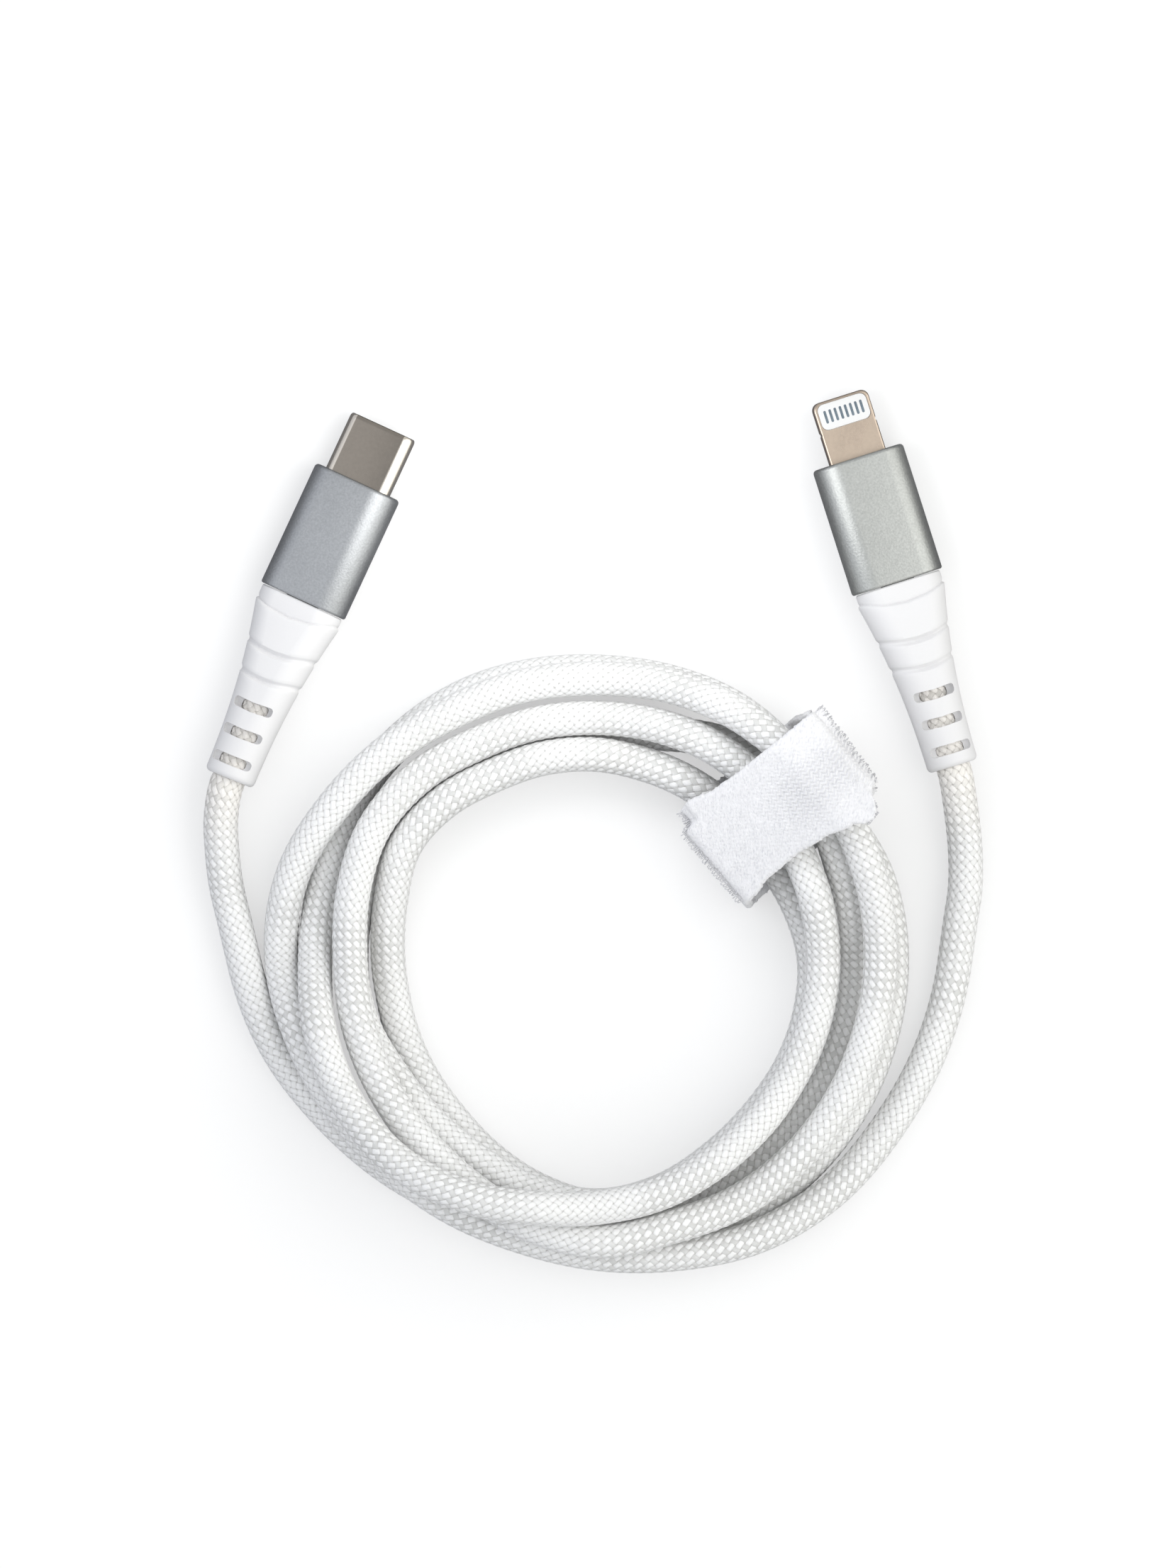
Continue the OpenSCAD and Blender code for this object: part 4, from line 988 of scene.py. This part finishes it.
def buildBand(name, corners, low, high, layer, endShift, setBack):
    at, total = roundedLine(corners, strap["curveStep"])
    steps, across = round(total / strap["grid"]), round(strap["across"] / strap["grid"])
    half, rings, uvs, ends = strap["thick"] / 2, [], [], []
    for i in range(steps + 1):
        t0 = total * i / steps
        lo, hi = tableValue(low, t0), tableValue(high, t0)
        soft = 0.55 + 0.45 * smoothRamp((total - t0) / strap["endSoft"])
        outer, inner, outerUv, innerUv = [], [], [], []
        for j in range(across + 1):
            edge = strap["fray"] * noise.noise(Vector((t0 * 3.3, layer, 3 if j * 2 < across else 9)))
            s = lo + (hi - lo) * j / across + edge * (j * 2 / across - 1)
            shift = endShift(s) + strap["endFray"] * noise.noise(Vector((s * 2.3, layer, 5)))
            t = t0 + shift * smoothRamp((t0 - total + strap["endRun"]) / strap["endRun"])
            place, ahead = at(t)
            normal = Vector((-ahead.y, ahead.x))
            place = place + Vector((setBack(s, place), 0))
            rim = max(0, 1 - min(j, across - j) * strap["grid"] / strap["rim"])
            rim = math.sqrt(max(0, 1 - rim ** 2))
            thick = half * soft * (0.35 + 0.65 * rim)
            lift = strap["napDeep"] * napHeight(t, s, layer) + strap["rowDeep"] * weaveHeight(t, s)
            up, down = place + normal * (thick + lift * rim), place - normal * (thick + lift * rim * 0.6)
            outer.append(strapPoint(up.x, s, up.y) * mm)
            inner.append(strapPoint(down.x, s, down.y) * mm)
            outerUv.append((t, s))
            innerUv.append((t, s + 40))
        rings.append(outer + inner[::-1])
        uvs.append(outerUv + innerUv[::-1])
        if i == steps:
            ends = [(up + down) / 2 for up, down in zip(outer, inner)]
    count = 2 * (across + 1)
    piece = skinRings(name, rings, lambda i, j: uvs[i][j % count])
    area = sum((tableValue(high, total * i / steps) - tableValue(low, total * i / steps)) * total / steps
               for i in range(steps))
    return piece, ends, total, area


# Small loops of yarn at the given places, each pointing its own way
def tuftRow(name, places):
    deselectAll()
    bpy.ops.mesh.primitive_torus_add(major_radius=tuft["ring"], minor_radius=tuft["yarn"],
                                     major_segments=10, minor_segments=5)
    loop, row = bpy.context.object, []
    loop.scale = tuft["stretch"]
    bpy.ops.object.transform_apply(scale=True)
    for place, ahead in places:
        one = copyOf(loop, "tuft")
        turn = ahead.to_track_quat("X", "Z").to_matrix().to_4x4()
        swing = Matrix.Rotation(random.uniform(-tuft["swing"], tuft["swing"]), 4, "Z")
        tip = Matrix.Rotation(random.uniform(0, math.pi), 4, "X")
        size = Matrix.Scale(random.uniform(*tuft["sizes"]), 4)
        one.data.transform(Matrix.Translation(place / mm) @ turn @ swing @ tip @ size)
        row.append(one)
    bpy.data.objects.remove(loop)
    piece = joinAll(name, row)
    piece.data.transform(Matrix.Scale(mm, 4))
    smoothShade(piece, 60)
    piece.data.materials.clear()
    piece.data.materials.append(shadedLoopYarn)
    return piece


def alongEnd(ends, spacing, outward):
    places, run = [], 0.0
    for a, b in zip(ends, ends[1:]):
        run += (b - a).length / mm
        if run >= spacing:
            run -= spacing
            jitter = Vector([random.uniform(-tuft["jitter"], tuft["jitter"]) * mm for axis in range(3)])
            places.append((b + jitter, outward))
    return places


# The zigzag rows again, for the shading: x runs along the band and y across it, in millimetres
def rowsGroup():
    group, entry, leave = startGroup(
        "weaveRows", {"Place": None, "Row": strap["rowPitch"], "Zig": strap["zigPitch"],
                      "High": strap["zigHigh"], "Start": strap["rowsFrom"]}, ("Height",))
    place = splitPlace(group, entry["Place"])
    t, s = place["X"], place["Y"]

    def do(operation, *values):
        return calc(group, operation, *values)
    zig = do("ABSOLUTE", do("SUBTRACT", do("FRACT", do("DIVIDE", t, entry["Zig"])), 0.5))
    zig = do("MULTIPLY", do("MULTIPLY_ADD", zig, 4.0, -1.0), entry["High"])
    row = do("SINE", do("MULTIPLY", do("DIVIDE", do("SUBTRACT", s, zig), entry["Row"]), 2 * math.pi))
    late = ramp(group, do("SUBTRACT", t, entry["Start"]), *nap["lateRange"])
    middle = ramp(group, do("ABSOLUTE", do("ADD", s, 1.0)), *nap["middleRange"])
    group.links.new(do("MULTIPLY", row, do("MULTIPLY", late, middle)), leave.inputs["Height"])
    return group


def napMaterial():
    look = nap
    material, tree, shader = startMaterial("napCloth")
    turn = wired(tree, "ShaderNodeMapping", {
        "Vector": objectPlace(tree), "Rotation": (0, 0, -math.radians(strap["heading"] + look["turn"]))})
    draw = wired(tree, "ShaderNodeMapping", {"Vector": turn.outputs[0], "Scale": look["draw"]})
    grain = useGroup(tree, fineGrain, Place=draw.outputs[0], Fine=look["fine"], Slow=look["slow"],
                     Spread=look["spread"], Colour=look["white"]).outputs
    uv = addNode(tree, "ShaderNodeUVMap", uv_map="surface").outputs["UV"]
    rows = useGroup(tree, weaveRows, Place=uv).outputs["Height"]
    # Painted shade in the nap's hollows
    raised = ramp(tree, grain["Height"], *look["hollowShadeRange"])
    napped = mixColour(tree, raised, look["hollowShade"], grain["Colour"])
    # Painted shade in the valleys of the rows, in slow patches
    patches = calc(tree, "MULTIPLY", ramp(tree, grain["Slow"], *look["patchRange"]), look["rowShadeAmount"])
    deep = calc(tree, "MULTIPLY", ramp(tree, rows, *look["rowRange"]), patches)
    feedAll(tree, shader, {"Base Color": mixColour(tree, deep, napped, look["hollowShade"]),
                           "Roughness": look["rough"], "Sheen Weight": look["sheen"],
                           "Sheen Roughness": look["sheenRough"]})
    both = calc(tree, "MULTIPLY_ADD", grain["Slow"], look["slowHigh"], grain["Height"])
    both = calc(tree, "MULTIPLY_ADD", rows, look["rowHigh"], both)
    bumpInto(tree, shader, both, look["bump"], look["bumpDepth"])
    return material


def buildStrap():
    s, fold, seam = strap, strap["foldAt"], strap["seamZ"]
    foldZ = s["hingeZ"] + (fold - s["hingeAt"]) * math.tan(math.radians(s["slope"]))
    a = math.radians(s["heading"])
    outward = Vector((math.cos(a), math.sin(a), 0))

    def foldBack(x, place):
        return (s["setBack"] * smoothRamp((x - s["setBackFrom"]) / s["setBackStep"])
                * (1 - smoothRamp((place.x - fold) / s["setBackRun"])))

    flapLine = [(fold, seam), (fold, foldZ, 1.5), (s["crestAt"], s["crestZ"], 5),
                (s["cornerAt"], s["cornerZ"], 1.0), (s["footAt"], s["tabZ"], 0.9), (s["endAt"], s["tabZ"])]
    wrapLine = [(fold, seam + 0.02), (fold, s["underZ"], 1.2), (s["sideAt"], s["underZ"], 1.2),
                (s["sideAt"] + 1.5, s["underTabZ"], 1.2), (s["underEnd"], s["underTabZ"])]
    flap, flapEnds, flapL, flapArea = buildBand("strapFlap", flapLine, flapLow, flapHigh, 1,
                                                lambda x: 0.06 * x, foldBack)
    wrap, wrapEnds, wrapL, wrapArea = buildBand("strapWrap", wrapLine, wrapLow, wrapHigh, 2,
                                                lambda x: 0, foldBack)
    print("strap lengths in mm", round(flapL, 1), round(wrapL, 1), "areas", round(flapArea), round(wrapArea))
    for piece, node in ((flap, "strap_flap"), (wrap, "strap_wrap")):
        piece.data.materials.append(napCloth)
        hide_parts(node)
    ends = alongEnd(flapEnds, tuft["every"], outward)
    up = Vector((0, 0, tuft["secondUp"] * mm))
    ends += alongEnd([p - outward * tuft["secondIn"] * mm + up for p in flapEnds], tuft["every"], outward)
    corner = [strapPoint(r, x, z) * mm for r, x, z in wornCorner]
    corner = [corner[i].lerp(corner[i + 1], k / 8) for i in range(3) for k in range(8)]
    cornerWay = (outward + strapPoint(0, -0.5, 0) - strapPoint(0, 0, 0)).normalized()
    ends += alongEnd(corner, tuft["every"], cornerWay)
    flapFringe = tuftRow("strapFlapFringe", ends)
    foldFace = fold - s["thick"] / 2 - 0.1
    foldLine = [strapPoint(foldFace + foldBack(x, Vector((fold, 0))), x, tuft["foldZ"]) * mm
                for x in [-6 + i * 0.1 for i in range(125)]]
    foldFringe = tuftRow("strapFoldFringe", alongEnd(foldLine, tuft["foldEvery"], -outward))
    wrapFringe = tuftRow("strapWrapFringe", alongEnd(wrapEnds, tuft["every"], outward))
    for piece in (flap, foldFringe):
        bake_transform(piece)
    for piece, body in ((wrap, "cable"), (wrapFringe, "cable"), (flapFringe, "strap_top")):
        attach(piece, body)


print("stage: strap")
weaveRows = rowsGroup()
napCloth = napMaterial()
# The loops are the strap's white yarn, painted grey for the shade between them
shadedLoopYarn = grainMaterial("shadedLoopYarn", (0.56, 0.56, 0.58), 0.8, fine=5000, slow=1500, spread=0.5, bump=0.3)
buildStrap()


# Floor and world
floor = {"size": 1500, "middle": (0, -20, 0), "colour": (0.48, 0.48, 0.48, 1),
         "mirrored": (0.18, 0.18, 0.19, 1), "glow": 0.52, "rough": 0.9}


def floorMaterial():
    material, tree, shader = startMaterial("paleFloor")
    path, seen = seenRays(tree)
    glow = wired(tree, "ShaderNodeEmission", {"Strength": calc(tree, "MULTIPLY", seen, floor["glow"])})
    mirrored = mixColour(tree, path["Is Glossy Ray"], floor["colour"], floor["mirrored"])
    feedAll(tree, shader, {"Base Color": mirrored, "Roughness": floor["rough"]})
    total = addNode(tree, "ShaderNodeAddShader")
    tree.links.new(shader.outputs[0], total.inputs[0])
    tree.links.new(glow.outputs[0], total.inputs[1])
    tree.links.new(total.outputs[0], tree.nodes["Material Output"].inputs["Surface"])
    return material


def placeWorld():
    world = bpy.data.worlds.new("studio")
    bpy.context.scene.world = world
    world.use_nodes = True
    tree = world.node_tree
    sky = tree.nodes["Background"]
    seen = seenRays(tree)[1]
    across = splitPlace(tree, addNode(tree, "ShaderNodeTexCoord").outputs["Generated"])["X"]
    tint = mixColour(tree, ramp(tree, across, *lights["tintRange"]), lights["leftTint"], lights["rightTint"])
    feedAll(tree, sky, {"Color": mixColour(tree, seen, tint, (1, 1, 1, 1)),
                        "Strength": ramp(tree, seen, 0, 1, lights["world"], 1)})


deselectAll()
bpy.ops.mesh.primitive_plane_add(size=floor["size"] * mm, location=[c * mm for c in floor["middle"]])
floorPiece = bpy.context.object
floorPiece.name = "floor"
floorPiece.data.materials.append(floorMaterial())
bpy.ops.object.transform_apply(location=True)
placeWorld()
